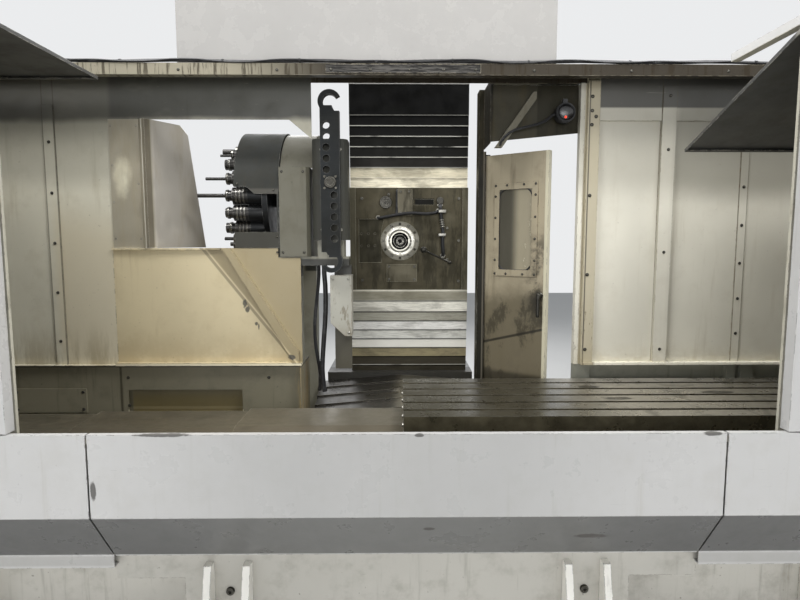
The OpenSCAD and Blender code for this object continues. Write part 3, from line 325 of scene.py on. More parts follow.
def chute_extra(m):
    m.lay(m.both(m.at(Z, 1.20, 1.02), m.blots(0.35, 0.6, 6.0, 5, 0.7)), (0.36, 0.26, 0.12), 0.3)
    # right of the diagonal rib the sheet is olive, and a painted shadow line runs down the rib's lower side
    slant = m.plus(m.xyz(X), m.xyz(Z), RIB_SLOPE)
    m.lay(m.step(slant, *RIB), (0.30, 0.245, 0.14), 0.85)
    m.lay(m.band_of(slant, 0.300, 0.316, 0.003), (0.14, 0.11, 0.065), 0.6)
    m.lay(m.at(Z, 1.001, 0.998), (0.85, 0.78, 0.58), 0.8)
    corner = m.both(m.at(X, -1.10, -1.27), m.at(Z, 1.3, 1.05))
    m.lay(corner, (0.33, 0.26, 0.14), 0.15)


assign(paint("chute_paint", (0.67, 0.575, 0.37), 0.5, stain=(0.42, 0.32, 0.17), grime=0.3, streak=0.4,
             chip=0.6, extra=chute_extra,
             spots=[((-0.700, -0.665, 1.268), (0.014, 0.03, 0.026)),
                    ((-0.688, -0.665, 1.243), (0.014, 0.03, 0.020)),
                    ((-0.651, -0.665, 1.177), (0.010, 0.03, 0.012)),
                    ((-0.640, -0.665, 1.165), (0.004, 0.03, 0.018)),
                    ((-0.49, -0.66, 1.025), (0.022, 0.03, 0.018))]), "chute_panel")


def lower_extra(m):
    lip = m.both(m.band(Z, 0.769, 0.781, 0.002), m.band(X, -1.245, -0.72, 0.004))
    m.lay(lip, (0.85, 0.78, 0.56), 0.9)
    inside = m.both(m.at(Y, -0.645, -0.63), m.band(X, -1.245, -0.72, 0.004), m.at(Z, 0.885, 0.80))
    m.lay(inside, (0.30, 0.24, 0.11), 0.8)
    wall = m.both(m.at(X, -0.50, -0.455), m.blots(0.42, 0.62, 7.0, 6, 0.7, stretch=(4, 4, 0.4)))
    m.lay(wall, (0.52, 0.38, 0.17), 0.7)
    m.lay(m.band(X, -1.278, -1.268, 0.001), (0.05, 0.045, 0.03), 0.7)
    # painted shadow under the ledge along the panel's top
    m.lay(m.at(Z, 0.978, 0.984), (0.03, 0.027, 0.018), 0.7)


assign(paint("lower_left_paint", (0.24, 0.22, 0.155), 0.4, stain=(0.09, 0.08, 0.045), grime=0.5, streak=0.6,
             bare=(0.2, 0.18, 0.14), extra=lower_extra), "lower_left_panel")


def right_extra(m):
    # painted shade: the wall is lighter near the working opening and darker and greyer towards its end, away
    # from the light through the opening
    m.lay(m.at(X, 1.22, 1.60), (0.40, 0.37, 0.29), 0.25)
    mid = m.both(m.band(X, 1.20, 1.52, 0.01), m.blots(0.40, 0.62, 1.6, 3, 0.6, stretch=(1, 1, 0.6)))
    m.lay(mid, (0.50, 0.47, 0.38), 0.30)
    # painted shadow of the roof: the wall's upper part is darkened, more so towards its end
    upper_shadow = m.step(m.plus(m.xyz(Z), m.noise(2.0), 0.12), 1.76, 1.90)
    m.lay(upper_shadow, (0.30, 0.28, 0.225), 0.40)
    m.lay(m.both(upper_shadow, m.at(X, 1.20, 1.24)), (0.17, 0.16, 0.125), 0.45)
    post = m.band(X, 0.815, 0.876, 0.002)
    m.lay(post, (0.47, 0.415, 0.285), 0.85)
    m.lay(m.band(X, 0.826, 0.832, 0.001), (0.06, 0.05, 0.035), 0.85)
    # painted shadow under the roof beam along the wall's top
    band = m.both(m.at(Z, 2.125, 2.135), m.at(X, 0.87, 0.88))
    m.lay(band, (0.055, 0.054, 0.049), 0.92)
    rust = m.both(m.band(X, 0.785, 0.876, 0.004), m.band(Z, 1.06, 1.24, 0.03),
                  m.blots(0.57, 0.62, 30.0, 6, 0.75, stretch=(2.5, 2, 0.6)))
    m.lay(rust, (0.07, 0.04, 0.02), 0.85)
    seam = m.band(X, 1.5135, 1.5165, 0.0008)
    for x in (1.149, 1.2125, 1.551, 0.8755):
        seam = m.either(seam, m.band(X, x - 0.0012, x + 0.0012, 0.0008))
    m.lay(seam, (0.10, 0.085, 0.05), 0.7)
    low = m.both(m.at(Z, 1.10, 1.0), m.blots(0.35, 0.6, 6.0, 5, 0.7))
    m.lay(low, (0.44, 0.37, 0.22), 0.35)
    m.lay(m.both(m.at(Z, 1.004, 1.001), m.at(X, 0.88, 0.89)), (0.92, 0.88, 0.74))


assign(paint("right_wall_paint", (0.78, 0.75, 0.64), 0.40, stain=(0.50, 0.44, 0.32), grime=0.22,
             chip=0.45, bare=(0.12, 0.07, 0.03), extra=right_extra), "right_wall")
assign(paint("lower_right_paint", (0.24, 0.24, 0.195), 0.45, stain=(0.08, 0.075, 0.05), grime=0.5, streak=0.5,
             chip=0.4, bare=(0.3, 0.28, 0.22)), "lower_right_panel")


def beam_extra(m):
    left = m.at(X, -0.25, -0.75)
    m.lay(left, (0.36, 0.33, 0.25), 0.80)
    drips = m.blots(0.52, 0.60, 9.0, 5, 0.7, stretch=(6, 1, 0.4), shift=(2, 0, 3))
    m.lay(drips, (0.03, 0.022, 0.012), 0.75)
    strip = m.both(m.band(X, -0.302, 0.331, 0.002), m.at(Y, -0.8105, -0.8112))
    scr = m.noise(30.0, 5, 0.7, stretch=(0.5, 1, 8))
    bright = m.mix(m.step(scr, 0.40, 0.56), (0.095, 0.09, 0.082), (0.016, 0.015, 0.014))
    m.lay(strip, bright)


assign(paint("beam_metal", (0.045, 0.038, 0.028), 0.38, stain=(0.03, 0.022, 0.012), grime=0.6, streak=0.6,
             chip=0.8, bare=(0.32, 0.29, 0.22), extra=beam_extra), "roof_beam")


def panel_extra(m):
    smear = m.both(m.blots(0.55, 0.75, 3.5, 5, 0.7, stretch=(1, 1, 0.5), shift=(5, 0, 1)),
                   m.at(Z, 2.36, 2.28))
    m.lay(smear, (0.36, 0.34, 0.30), 0.35)


assign(paint("panel_white", (0.365, 0.355, 0.34), 0.24, stain=(0.40, 0.39, 0.36), grime=0.15, streak=0.25,
             chip=0.25, vary=0.03, extra=panel_extra), "top_panel")


# rubber and plastic
def rubber(name, color, rough=0.5):
    m = Mat(name, rough, 0.0, 0.4)
    dust = m.noise(14.0, 5, 0.7)
    m.c = m.mix(m.step(dust, 0.45, 0.75), color, tuple(v + 0.05 for v in color))
    m.bump(m.noise(240.0, 2), 0.15, 0.0003)
    return m.out(m.c, m.math("ADD", m.both(dust, 0.25), rough - 0.12))


black_rubber = rubber("cable_rubber", (0.012, 0.012, 0.013))
assign(black_rubber, "cable_bundle", "hoses", "lamp_cable")
assign(rubber("lamp_plastic", (0.010, 0.010, 0.011), 0.42), "work_lamp")


def hood_extra(m):
    sheet = m.both(m.band(X, 0.400, 0.407, 0.002), m.at(Y, -0.43, -0.44))
    m.lay(sheet, (0.42, 0.37, 0.29))
    post = m.both(m.at(X, 0.413, 0.410), m.at(Y, -0.43, -0.44))
    m.lay(post, (0.010, 0.010, 0.008), 0.95)
    stay = m.both(m.at(Y, -0.6195, -0.6215), m.band(X, 0.415, 0.61, 0.005))
    m.lay(stay, (0.20, 0.185, 0.14), 0.85)
    wipe = m.blots(0.5, 0.7, 4.0, 5, 0.7, stretch=(3, 3, 0.6))
    m.lay(wipe, (0.075, 0.06, 0.03), 0.4)


assign(paint("hood_paint", (0.030, 0.027, 0.017), 0.45, stain=(0.012, 0.010, 0.005), grime=0.5, streak=0.6,
             bare=(0.20, 0.19, 0.16), extra=hood_extra), "right_hood")


# stainless panel with its flap
def stainless_extra(m):
    # painted shadow in the strip between the panel and its flap
    m.lay(m.band(X, -1.118, -1.092, 0.002), (0.18, 0.155, 0.11), 0.85)
    m.lay(m.at(X, -1.092, -1.085), (0.66, 0.62, 0.57), 0.6)
    # painted highlight along the panel's edge
    m.lay(m.band(X, -1.124, -1.119, 0.001), (0.90, 0.87, 0.76), 0.8)
    # painted highlight: a warm bright spot on the stainless panel
    highlight_spot = m.spot((-1.225, -0.66, 1.83), (0.05, 0.1, 0.12), 0.5, 9.0, 0.7)
    m.lay(highlight_spot, (1.0, 0.95, 0.74), 0.85)
    low = m.both(m.blots(0.48, 0.66, 5.0, 5, 0.7, stretch=(2.5, 2.5, 0.5)), 0.5)
    m.lay(low, (0.45, 0.38, 0.25), 0.6)


assign(steel("stainless", (0.47, 0.43, 0.335), 0.36, 0.35, grain=(60, 60, 1), grain_k=0.06,
             dirt=(0.42, 0.37, 0.25), dirt_k=0.30, extra=stainless_extra, edge=(0.6, 0.58, 0.52), dent=0.25),
       "window_panel")


# telescopic covers
def x_cover_extra(m):
    front = m.at(Y, -1.125, -1.135)
    m.lay(front, (0.12, 0.10, 0.07), 0.45)
    pool = m.blots(0.5, 0.62, 4.5, 6, 0.7, stretch=(0.7, 1.6, 1), shift=(4, 4, 0), warp=1.0)
    m.lay(pool, (0.09, 0.083, 0.06), 0.5)


assign(steel("x_cover_steel", (0.135, 0.12, 0.088), 0.36, 0.45, grain=(1, 40, 1), dirt=(0.09, 0.082, 0.058),
             dirt_k=0.6, extra=x_cover_extra, edge=(0.55, 0.52, 0.43)),
       "x_cover_fixed_leaves", "x_cover_table_leaves", "x_cover_1", "x_cover_2")


def z_cover_extra(m):
    left = m.at(X, 0.02, -0.05)
    m.lay(left, (0.030, 0.027, 0.024), 0.92)
    chip = m.blots(0.60, 0.66, 40.0, 5, 0.75, stretch=(1, 1.4, 1))
    m.lay(chip, (0.45, 0.42, 0.34), 0.4)


assign(steel("z_cover_steel", (0.26, 0.24, 0.19), 0.30, 0.75, grain=(40, 1, 1), dirt=(0.04, 0.035, 0.022),
             dirt_k=0.6, extra=z_cover_extra, edge=(0.60, 0.57, 0.48)),
       "z_cover_front", "z_cover_1", "z_cover_2", "z_cover_3", "z_cover_4")


def table_extra(m):
    top = m.at(Z, 0.9338, 0.9346)
    # painted reflection: a pale band across the table top
    light = m.both(m.at(X, 0.55, 0.95), m.at(X, 1.75, 1.1))
    ground = m.mix(light, (0.12, 0.11, 0.08), (0.46, 0.43, 0.37))
    oil = m.blots(0.52, 0.64, 5.0, 6, 0.7, stretch=(1.5, 1, 1), shift=(1, 2, 0), warp=0.8)
    ground = m.mix(m.both(oil, 0.45), ground, (0.045, 0.04, 0.028))
    for p, r in (((0.80, -0.86, 0.935), (0.05, 0.03, 0.1)), ((0.86, -1.04, 0.935), (0.07, 0.022, 0.1)),
                 ((0.35, -1.10, 0.935), (0.05, 0.018, 0.1)), ((1.3, -0.95, 0.935), (0.08, 0.025, 0.1))):
        ground = m.mix(m.both(m.spot(p, r, 0.6, 18.0), 0.85), ground, (0.02, 0.018, 0.012))
    m.lay(top, ground)
    m.lay(m.both(top, m.at(X, 0.9, 0.5)), (0.045, 0.040, 0.026), 0.65)
    end = m.at(X, 0.0135, 0.0125)
    m.lay(end, (0.06, 0.055, 0.04), 0.5)


assign(steel("table_iron", (0.16, 0.14, 0.09), 0.30, 0.7, grain=(1, 50, 1), grain_k=0.18,
             dirt=(0.02, 0.018, 0.012), dirt_k=0.5, extra=table_extra, edge=(0.42, 0.40, 0.34)), "table")

# Covers above and below the head: leaf j of the upper and of the lower row is one node. UP0 and LOW0 are
# the lower edges of leaf 0, the pitches lead from leaf to leaf, and a painted highlight lies on the lip at
# each lower edge.
UP0, UP_PITCH, LOW0, LOW_PITCH = 1.8353, 0.054, 1.1657, 0.051
UP_LIP_HIGHLIGHT = [0.3, 0.25, 0.4, 0.6, 0.6, 0.6, 0.55, 0.2]
# the next two tables hold painted reflections and painted shade, one colour for each leaf of the upper and of
# the lower row
UP_PAINTED_LIGHT = [(0.80, 0.74, 0.58), (0.60, 0.55, 0.41), (0.016, 0.015, 0.013), (0.007, 0.007, 0.006),
           (0.005, 0.005, 0.004), (0.004, 0.004, 0.004), (0.004, 0.004, 0.004), (0.004, 0.004, 0.004)]
LOW_PAINTED_LIGHT = [(0.92, 0.90, 0.80), (0.44, 0.43, 0.36), (0.97, 0.96, 0.92), (0.86, 0.86, 0.80),
            (1.00, 0.98, 0.90), (0.44, 0.38, 0.23), (0.07, 0.062, 0.045), (0.05, 0.044, 0.03)]


def leaf_extra(j):
    def extra(m):
        z = m.xyz(Z)
        # each leaf takes its painted reflection and shade colour, one below the spindle and one above
        up, low = UP_PAINTED_LIGHT[j], LOW_PAINTED_LIGHT[j]
        m.c = m.mix(m.step(z, SPINDLE_Z, SPINDLE_Z + 0.01), low, up)
        hair = m.noise(14.0, 5, 0.7, stretch=(1, 1, 22), shift=(j, 2, 3))
        # colour of the oil streaks, turning near black above about 1.9 m as painted shade on the upper leaves
        oil_and_shade = m.mix(m.step(z, 1.96, 1.90), (0.006, 0.006, 0.005), (0.10, 0.09, 0.065))
        m.lay(m.step(hair, 0.40, 0.68), oil_and_shade, 0.0 if j == 4 else 0.4)
        smear = m.noise(3.0, 5, 0.65, stretch=(1.3, 1, 3.5), shift=(2 * j, 1, j), warp=0.5)
        m.lay(m.step(smear, 0.46, 0.66), oil_and_shade, 0.05 if j == 4 else 0.45)
        if j == 0:
            # painted reflection bands on leaf 0, with a painted shadow line and a painted highlight line
            m.lay(m.band(Z, 1.228, 1.30, 0.003), (0.17, 0.155, 0.10), 0.8)
            m.lay(m.band(Z, 1.218, 1.228, 0.002), (0.03, 0.03, 0.02), 0.7)
            m.lay(m.band(Z, 1.276, 1.284, 0.001), (0.80, 0.77, 0.66), 0.8)
        up_z = UP0 + j * UP_PITCH
        low_z = LOW0 - j * LOW_PITCH
        # painted shadow: a black line under the lip of the sheet above
        if j:
            under = low_z + LOW_PITCH
            m.lay(m.band(Z, under - 0.007, under, 0.001), (0.014, 0.013, 0.010), 0.9)
        # painted highlights on the lips at the leaf's lower edges
        lip = m.both(m.band(Z, up_z - 0.001, up_z + 0.0045, 0.001), UP_LIP_HIGHLIGHT[j])
        if j in (0, 6):
            lip = m.either(lip, m.both(m.band(Z, low_z - 0.001, low_z + 0.004, 0.001),
                                       0.3 if j == 0 else 1.0))
        lip = m.both(lip, m.blots(0.25, 0.5, 8.0, 4, 0.6, stretch=(1, 1, 3), shift=(j, j, 1)))
        m.lay(lip, (0.66, 0.65, 0.58), 0.9)
    return extra


LEAVES = ["y_cover_head_leaves", *("y_cover_%d" % j for j in range(1, 7)), "y_cover_column_leaves"]
for j, node in enumerate(LEAVES):
    assign(steel("head_cover_%d" % j, (0.4, 0.4, 0.35), 0.36, 0.30, grain=(1, 1, 30), extra=leaf_extra(j),
                 dirt_k=0.0, dent=0.12, spec=0.10), node)

assign(steel("ground_bar", (0.50, 0.49, 0.46), 0.24, 1.0, dirt_k=0.3),
       "feed_screws", "column_screw", "arm_shaft")


def casting_extra(m):
    way = m.either(m.at(Y, -0.0285, -0.0295), m.at(Z, 0.6015, 0.6005))
    m.lay(way, (0.28, 0.27, 0.25), 0.5)
    # painted shade: the column's foot below the covers is darkened
    foot = m.both(m.at(Z, 0.845, 0.825), m.at(Y, 0.05, 0.0))
    m.lay(foot, (0.020, 0.018, 0.012), 0.92)


assign(paint("column_paint", (0.20, 0.205, 0.20), 0.5, stain=OIL, grime=0.45, streak=0.5, chip=0.6,
             bare=(0.10, 0.09, 0.08), extra=casting_extra, peel=0.35), "column")


def flange_extra(m):
    nose = m.spot((0.0, -0.10, SPINDLE_Z), (0.106, 0.05, 0.106), 0.0, soft=0.02)
    r = m.radius(0.0, SPINDLE_Z)
    rings = m.both(m.step(r, 0.079, 0.081), m.step(r, 0.102, 0.100))
    m.lay(nose, m.mix(rings, (0.40, 0.38, 0.33), (0.16, 0.152, 0.125)))
    turn = m.math("ARCTAN2", m.math("SUBTRACT", m.xyz(Z), SPINDLE_Z), m.xyz(X))
    row = m.step(m.math("COSINE", m.math("MULTIPLY", turn, 12.0)), 0.45, 0.85)
    m.lay(m.both(row, m.both(m.step(r, 0.083, 0.086), m.step(r, 0.099, 0.096))), (0.020, 0.018, 0.013))
    grime = m.both(nose, m.blots(0.48, 0.66, 18.0, 5, 0.7))
    m.lay(grime, (0.10, 0.09, 0.06), 0.55)


assign(steel("head_casting", (0.12, 0.115, 0.09), 0.38, 0.6, dirt=OIL, dirt_k=0.5,
             extra=flange_extra, edge=(0.30, 0.29, 0.24)), "spindle_head")


def face_extra(m):
    recess = m.both(m.band(X, -0.222, -0.09, 0.002), m.band(Z, 1.434, 1.668, 0.002),
                    m.at(Y, -0.0965, -0.0955))
    m.lay(recess, (0.035, 0.032, 0.020), 0.75)
    ring = m.spot((0.0, -0.10, SPINDLE_Z), (0.15, 0.05, 0.15), 0.35, 14.0, 0.4)
    m.lay(ring, (0.15, 0.135, 0.09), 0.35)
    plate = m.both(m.band(X, -0.073, 0.091, 0.002), m.band(Z, 1.329, 1.425, 0.002))
    m.lay(plate, (0.17, 0.155, 0.11), 0.5)
    light = m.both(m.band(X, -0.013, 0.067, 0.002), m.band(Z, 1.687, 1.827, 0.002))
    m.lay(light, (0.22, 0.20, 0.15), 0.5)
    side = m.either(m.at(X, -0.2385, -0.2395), m.at(X, 0.3365, 0.3375))
    m.lay(side, (0.15, 0.14, 0.10), 0.35)
    wet = m.blots(0.48, 0.60, 6.0, 6, 0.7, stretch=(3, 1, 0.6), shift=(3, 1, 1))
    m.lay(wet, (0.022, 0.020, 0.012), 0.6)
    blind = m.both(m.band(X, 0.082, 0.184, 0.002), m.band(Z, 1.745, 1.778, 0.002))
    m.lay(blind, (0.008, 0.008, 0.007), 0.95)


assign(steel("face_steel", (0.072, 0.063, 0.040), 0.46, 0.45, grain_k=0.12, dirt=(0.02, 0.018, 0.01),
             extra=face_extra, edge=(0.32, 0.30, 0.23)), "face_plate")
assign(paint("motor_paint", (0.03, 0.03, 0.032), 0.4, stain=OIL, grime=0.3, streak=0.2, chip=0.4,
             bare=(0.2, 0.2, 0.2)), "spindle_motor")


def spindle_extra(m):
    # painted shade in the taper bore: its mouth is darkened
    bore_shade = m.spot((0.0, -0.128, SPINDLE_Z), (0.046, 0.02, 0.046), 0.0, soft=0.05)
    m.lay(bore_shade, (0.05, 0.05, 0.048))
    r = m.radius(0.0, SPINDLE_Z)
    m.lay(m.both(m.step(r, 0.0525, 0.0535), m.step(r, 0.0635, 0.0625)), (0.07, 0.068, 0.058))
    m.lay(m.step(r, 0.0725, 0.0735), (0.11, 0.105, 0.09))
    # painted shade: the inside of the bore is painted black
    inside = m.both(m.step(r, 0.0465, 0.0455), m.at(Y, -0.1335, -0.1315))
    m.lay(inside, (0.002, 0.002, 0.002))


assign(steel("spindle_steel", (0.52, 0.51, 0.46), 0.26, 0.85, dirt=(0.06, 0.05, 0.03), dirt_k=0.5,
             extra=spindle_extra, edge=(0.70, 0.68, 0.60)), "spindle")

# tool changer and magazine
assign(paint("changer_paint", (0.056, 0.056, 0.047), 0.46, stain=OIL, grime=0.5, streak=0.6,
             bare=(0.28, 0.27, 0.24)), "arm_housing")
assign(steel("arm_black", (0.020, 0.022, 0.023), 0.44, 0.35, grain=(1, 1, 20), dirt=(0.02, 0.018, 0.012),
             dirt_k=0.5, edge=(0.16, 0.16, 0.15)), "tool_arm")


def rack_extra(m):
    bar = m.both(m.at(X, -0.52, -0.50), m.band(Z, 1.39, 1.47, 0.004))
    m.lay(bar, (0.020, 0.020, 0.017), 0.92)
    right = m.both(m.at(X, -0.345, -0.335), m.at(Z, 1.40, 1.39))
    m.lay(right, (0.050, 0.043, 0.026), 0.85)


assign(paint("rack_paint", (0.27, 0.26, 0.205), 0.45, stain=(0.05, 0.04, 0.02), grime=0.5, streak=0.5,
             bare=(0.3, 0.28, 0.22), extra=rack_extra), "magazine_frame")


def guard_extra(m):
    flat = m.both(m.at(Y, -0.6505, -0.6515), m.at(Z, 1.755, 1.757))
    m.lay(flat, (0.14, 0.130, 0.112), 0.6)
    low = m.at(Z, 1.60, 1.585)
    m.lay(low, (0.09, 0.083, 0.066), 0.4)
    dust = m.blots(0.45, 0.7, 3.0, 5, 0.65, stretch=(1, 2, 1))
    m.lay(dust, (0.07, 0.07, 0.063), 0.3)


assign(paint("guard_paint", (0.036, 0.038, 0.034), 0.50, stain=OIL, grime=0.4, streak=0.5, chip=0.55,
             bare=(0.3, 0.29, 0.26), extra=guard_extra), "magazine_guard")
assign(paint("box_guard_paint", (0.135, 0.128, 0.095), 0.42, stain=(0.07, 0.06, 0.035), grime=0.4,
             streak=0.5, bare=(0.04, 0.04, 0.035)), "box_guard")
assign(steel("drum_black", (0.028, 0.029, 0.030), 0.34, 0.6, edge=(0.20, 0.20, 0.19)),
       "magazine_drum")
assign(steel("holder_steel", (0.055, 0.053, 0.050), 0.30, 0.8, grain=(30, 1, 1), dirt_k=0.35,
             edge=(0.40, 0.39, 0.36)), "tools")


def splash_extra(m):
    low = m.at(Z, 1.20, 1.12)
    m.lay(low, (0.25, 0.22, 0.16), 0.4)
    mark = m.blots(0.54, 0.62, 16.0, 5, 0.7, stretch=(2, 1, 0.6))
    m.lay(mark, (0.16, 0.13, 0.08), 0.7)


assign(paint("splash_paint", (0.42, 0.41, 0.35), 0.4, stain=(0.2, 0.16, 0.1), streak=0.5, chip=0.8,
             bare=(0.16, 0.08, 0.05), extra=splash_extra), "splash_box")


# doors and flaps
def door_extra(m):
    jamb = m.at(Y, -1.52, -1.50)
    m.lay(jamb, (0.42, 0.39, 0.30), 0.4)
    away = m.either(m.at(X, -1.19, -1.21), m.at(X, 1.19, 1.21))
    face = m.both(m.at(Y, -1.535, -1.54), away)
    m.lay(face, (0.50, 0.495, 0.485), 0.85)
    strut = m.at(Z, 2.17, 2.176)
    m.lay(strut, (0.66, 0.66, 0.67), 0.7)
    hand = m.both(m.band(Z, 1.2, 1.7, 0.1), m.blots(0.45, 0.62, 9.0, 5, 0.7))
    m.lay(hand, (0.15, 0.13, 0.09), 0.35)


assign(paint("door_paint", (0.50, 0.48, 0.40), 0.38, stain=(0.26, 0.22, 0.14), grime=0.3,
             bare=(0.08, 0.07, 0.06), extra=door_extra), "left_door", "right_door")


def flap_extra(m):
    # painted light on the lit front edge flange
    front = m.at(Y, -1.50, -1.52)
    m.lay(front, (0.5, 0.48, 0.42), 0.4)
    dust = m.blots(0.45, 0.75, 2.2, 5, 0.65, stretch=(1, 1.5, 1))
    m.lay(dust, (0.13, 0.125, 0.11), 0.35)


# the flaps' paint is darkened as painted shade on their unlit undersides
assign(paint("flap_paint_shaded", (0.072, 0.072, 0.068), 0.5, stain=OIL, streak=0.3, chip=0.6,
             bare=(0.40, 0.38, 0.33), extra=flap_extra), "left_roof_flap", "right_roof_flap")


def service_extra(m):
    low = m.step(m.plus(m.xyz(Z), m.noise(3.0, 5, 0.7), 0.25), 1.50, 1.35)
    m.lay(low, (0.075, 0.062, 0.034), 0.72)
    blot = m.both(m.blots(0.50, 0.62, 7.0, 6, 0.72, stretch=(1.5, 1.5, 0.8)), low)
    m.lay(blot, (0.028, 0.024, 0.014), 0.7)
    stain = m.both(m.at(X, 0.55, 0.64), m.band(Z, 1.22, 1.56, 0.08))
    stain = m.both(stain, m.blots(0.40, 0.55, 8.0, 6, 0.7))
    m.lay(stain, (0.016, 0.014, 0.009), 0.85)
    gap = m.plus(m.xyz(Z), m.xyz(X), -0.36)
    m.lay(m.band_of(gap, 0.900, 0.912, 0.003), (0.014, 0.012, 0.008), 0.85)
    m.lay(m.at(Z, 0.935, 0.905), (0.03, 0.026, 0.017), 0.8)
    right = m.at(X, 0.6545, 0.6570)
    m.lay(right, (0.66, 0.62, 0.46), 0.9)


assign(paint("service_paint", (0.40, 0.345, 0.24), 0.4, stain=(0.10, 0.08, 0.045), grime=0.45, streak=0.6,
             chip=0.6, bare=(0.04, 0.035, 0.03), extra=service_extra), "service_door")


def glass():
    m = Mat("window_glass", 0.07, 0.0, 0.5)
    film = m.noise(4.0, 6, 0.7, stretch=(2, 2, 0.7))
    m.b.inputs["Transmission Weight"].default_value = 0.25
    m.b.inputs["IOR"].default_value = 1.50
    m.bump(m.noise(2.5), 0.05, 0.002)
    pale = m.at(X, 0.520, 0.560)
    dim = m.mix(film, (0.15, 0.14, 0.11), (0.075, 0.07, 0.052))
    m.c = m.mix(pale, dim, m.mix(film, (0.55, 0.50, 0.37), (0.34, 0.30, 0.21)))
    return m.out(m.c, m.math("ADD", m.both(m.step(film, 0.4, 0.75), 0.35), 0.06))


assign(glass(), "service_window")

# ---------------------------------------------------------------- detail pieces
screw_steel = steel("screw_steel", (0.30, 0.29, 0.26), 0.32, 0.9, dirt=(0.05, 0.04, 0.03),
                    edge=(0.6, 0.58, 0.5))
dark_screw = steel("dark_screw", (0.05, 0.048, 0.042), 0.36, 0.8, edge=(0.25, 0.24, 0.2))
bright_steel = steel("bright_steel", (0.62, 0.60, 0.52), 0.26, 1.0, dirt_k=0.3)
wiper_rubber = rubber("wiper_rubber", (0.016, 0.015, 0.013), 0.45)

FRONT, LEFT = (0, -1, 0), (-1, 0, 0)
SHARP = math.radians(40)       # edges steeper than this stay sharp
FACE = -0.100                  # y of the face plate's front
FOOT = FACE + 0.0005           # where screws and fittings start, just inside the plate
WALL = -0.650                  # y of the inner walls


def mesh_piece(name, build, body, material):
    me = bpy.data.meshes.new(name)
    bm = bmesh.new()
    build(bm)
    bmesh.ops.recalc_face_normals(bm, faces=bm.faces)
    bm.to_mesh(me)
    bm.free()
    me.materials.append(material)
    ob = bpy.data.objects.new(name, me)
    scene.collection.objects.link(ob)
    for poly in me.polygons:
        poly.use_smooth = True
    me.set_sharp_from_angle(angle=SHARP)
    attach(ob, body)


def piece(body, material):
    """Makes a piece with the function under it, and gives it the function's name."""
    return lambda build: mesh_piece(build.__name__, build, body, material)


def facing(p, axis, roll=0.0):
    """A matrix whose z looks along axis, placed at p."""
    q = Vector(axis).to_track_quat("Z", "Y")
    return Matrix.Translation(Vector(p)) @ q.to_matrix().to_4x4() @ Matrix.Rotation(roll, 4, "Z")


def ring(bm, m, r, z, n):
    angles = [2 * math.pi * k / n for k in range(n)]
    return [bm.verts.new(m @ Vector((r * math.cos(a), r * math.sin(a), z))) for a in angles]


def skin(bm, rings):
    """Joins each ring of points to the next."""
    n = len(rings[0])
    for a, b in zip(rings, rings[1:]):
        for k in range(n):
            bm.faces.new((a[k], a[(k + 1) % n], b[(k + 1) % n], b[k]))


def closed_skin(bm, rings):
    skin(bm, rings)
    bm.faces.new(rings[0][::-1])
    bm.faces.new(rings[-1])


def lathe(bm, m, profile, n=20):
    """Turns (radius, height) pairs round z and closes both ends."""
    closed_skin(bm, [ring(bm, m, r, z, n) for r, z in profile])


def lathe_ring(bm, m, r0, r1, h, n=48):
    """A flat ring from radius r0 to r1 with rounded upper edges."""
    fall = 0.25 * (r1 - r0)
    profile = [(r0, 0), (r1, 0), (r1, h * 0.7), (r1 - fall, h), (r0 + fall, h), (r0, h * 0.7)]
    rings = [ring(bm, m, r, z, n) for r, z in profile]
    skin(bm, rings + rings[:1])


def socket_screw(bm, m, r, h):
    """Cap screw with a rounded rim and a hexagon socket."""
    n = 18
    rings = [ring(bm, m, q, z, n) for q, z in ((r, 0), (r, h - 0.18 * r), (r * 0.86, h), (r * 0.56, h))]
    for z in (h, h - 0.5 * r):
        rings.append([])
        for k in range(n):
            a = 2 * math.pi * k / n
            q = 0.46 * r / math.cos((a % (math.pi / 3)) - math.pi / 6) * math.cos(math.pi / 6) * 1.1
            rings[-1].append(bm.verts.new(m @ Vector((q * math.cos(a), q * math.sin(a), z))))
    closed_skin(bm, rings)


def dome_screw(bm, m, r, h):
    """Button head with a round pit in the middle."""
    lathe(bm, m, [(r, 0), (r, h * 0.25), (r * 0.92, h * 0.62), (r * 0.70, h * 0.90), (r * 0.36, h),
                  (r * 0.30, h * 0.6)], 14)


def screws(name, points, r, h, kind=dome_screw, material=dark_screw, body="base"):
    mesh_piece(name, lambda bm: [kind(bm, facing(p, FRONT, 0.7 * i), r, h) for i, p in enumerate(points)],
               body, material)


def grid(xs, y, zs):
    return [(x, y, z) for x in xs for z in zs]


def rounded_box(bm, lo, hi, r):
    """A box with bevelled edges."""
    c = [(a + b) / 2 for a, b in zip(lo, hi)]
    s = [b - a for a, b in zip(lo, hi)]
    made = bmesh.ops.create_cube(bm, size=1.0, matrix=Matrix.Translation(c) @ Matrix.Diagonal((*s, 1.0)))
    edges = list({e for v in made["verts"] for e in v.link_edges})
    bmesh.ops.bevel(bm, geom=edges, offset=min(r, min(s) * 0.45), segments=2, affect="EDGES", profile=0.6)


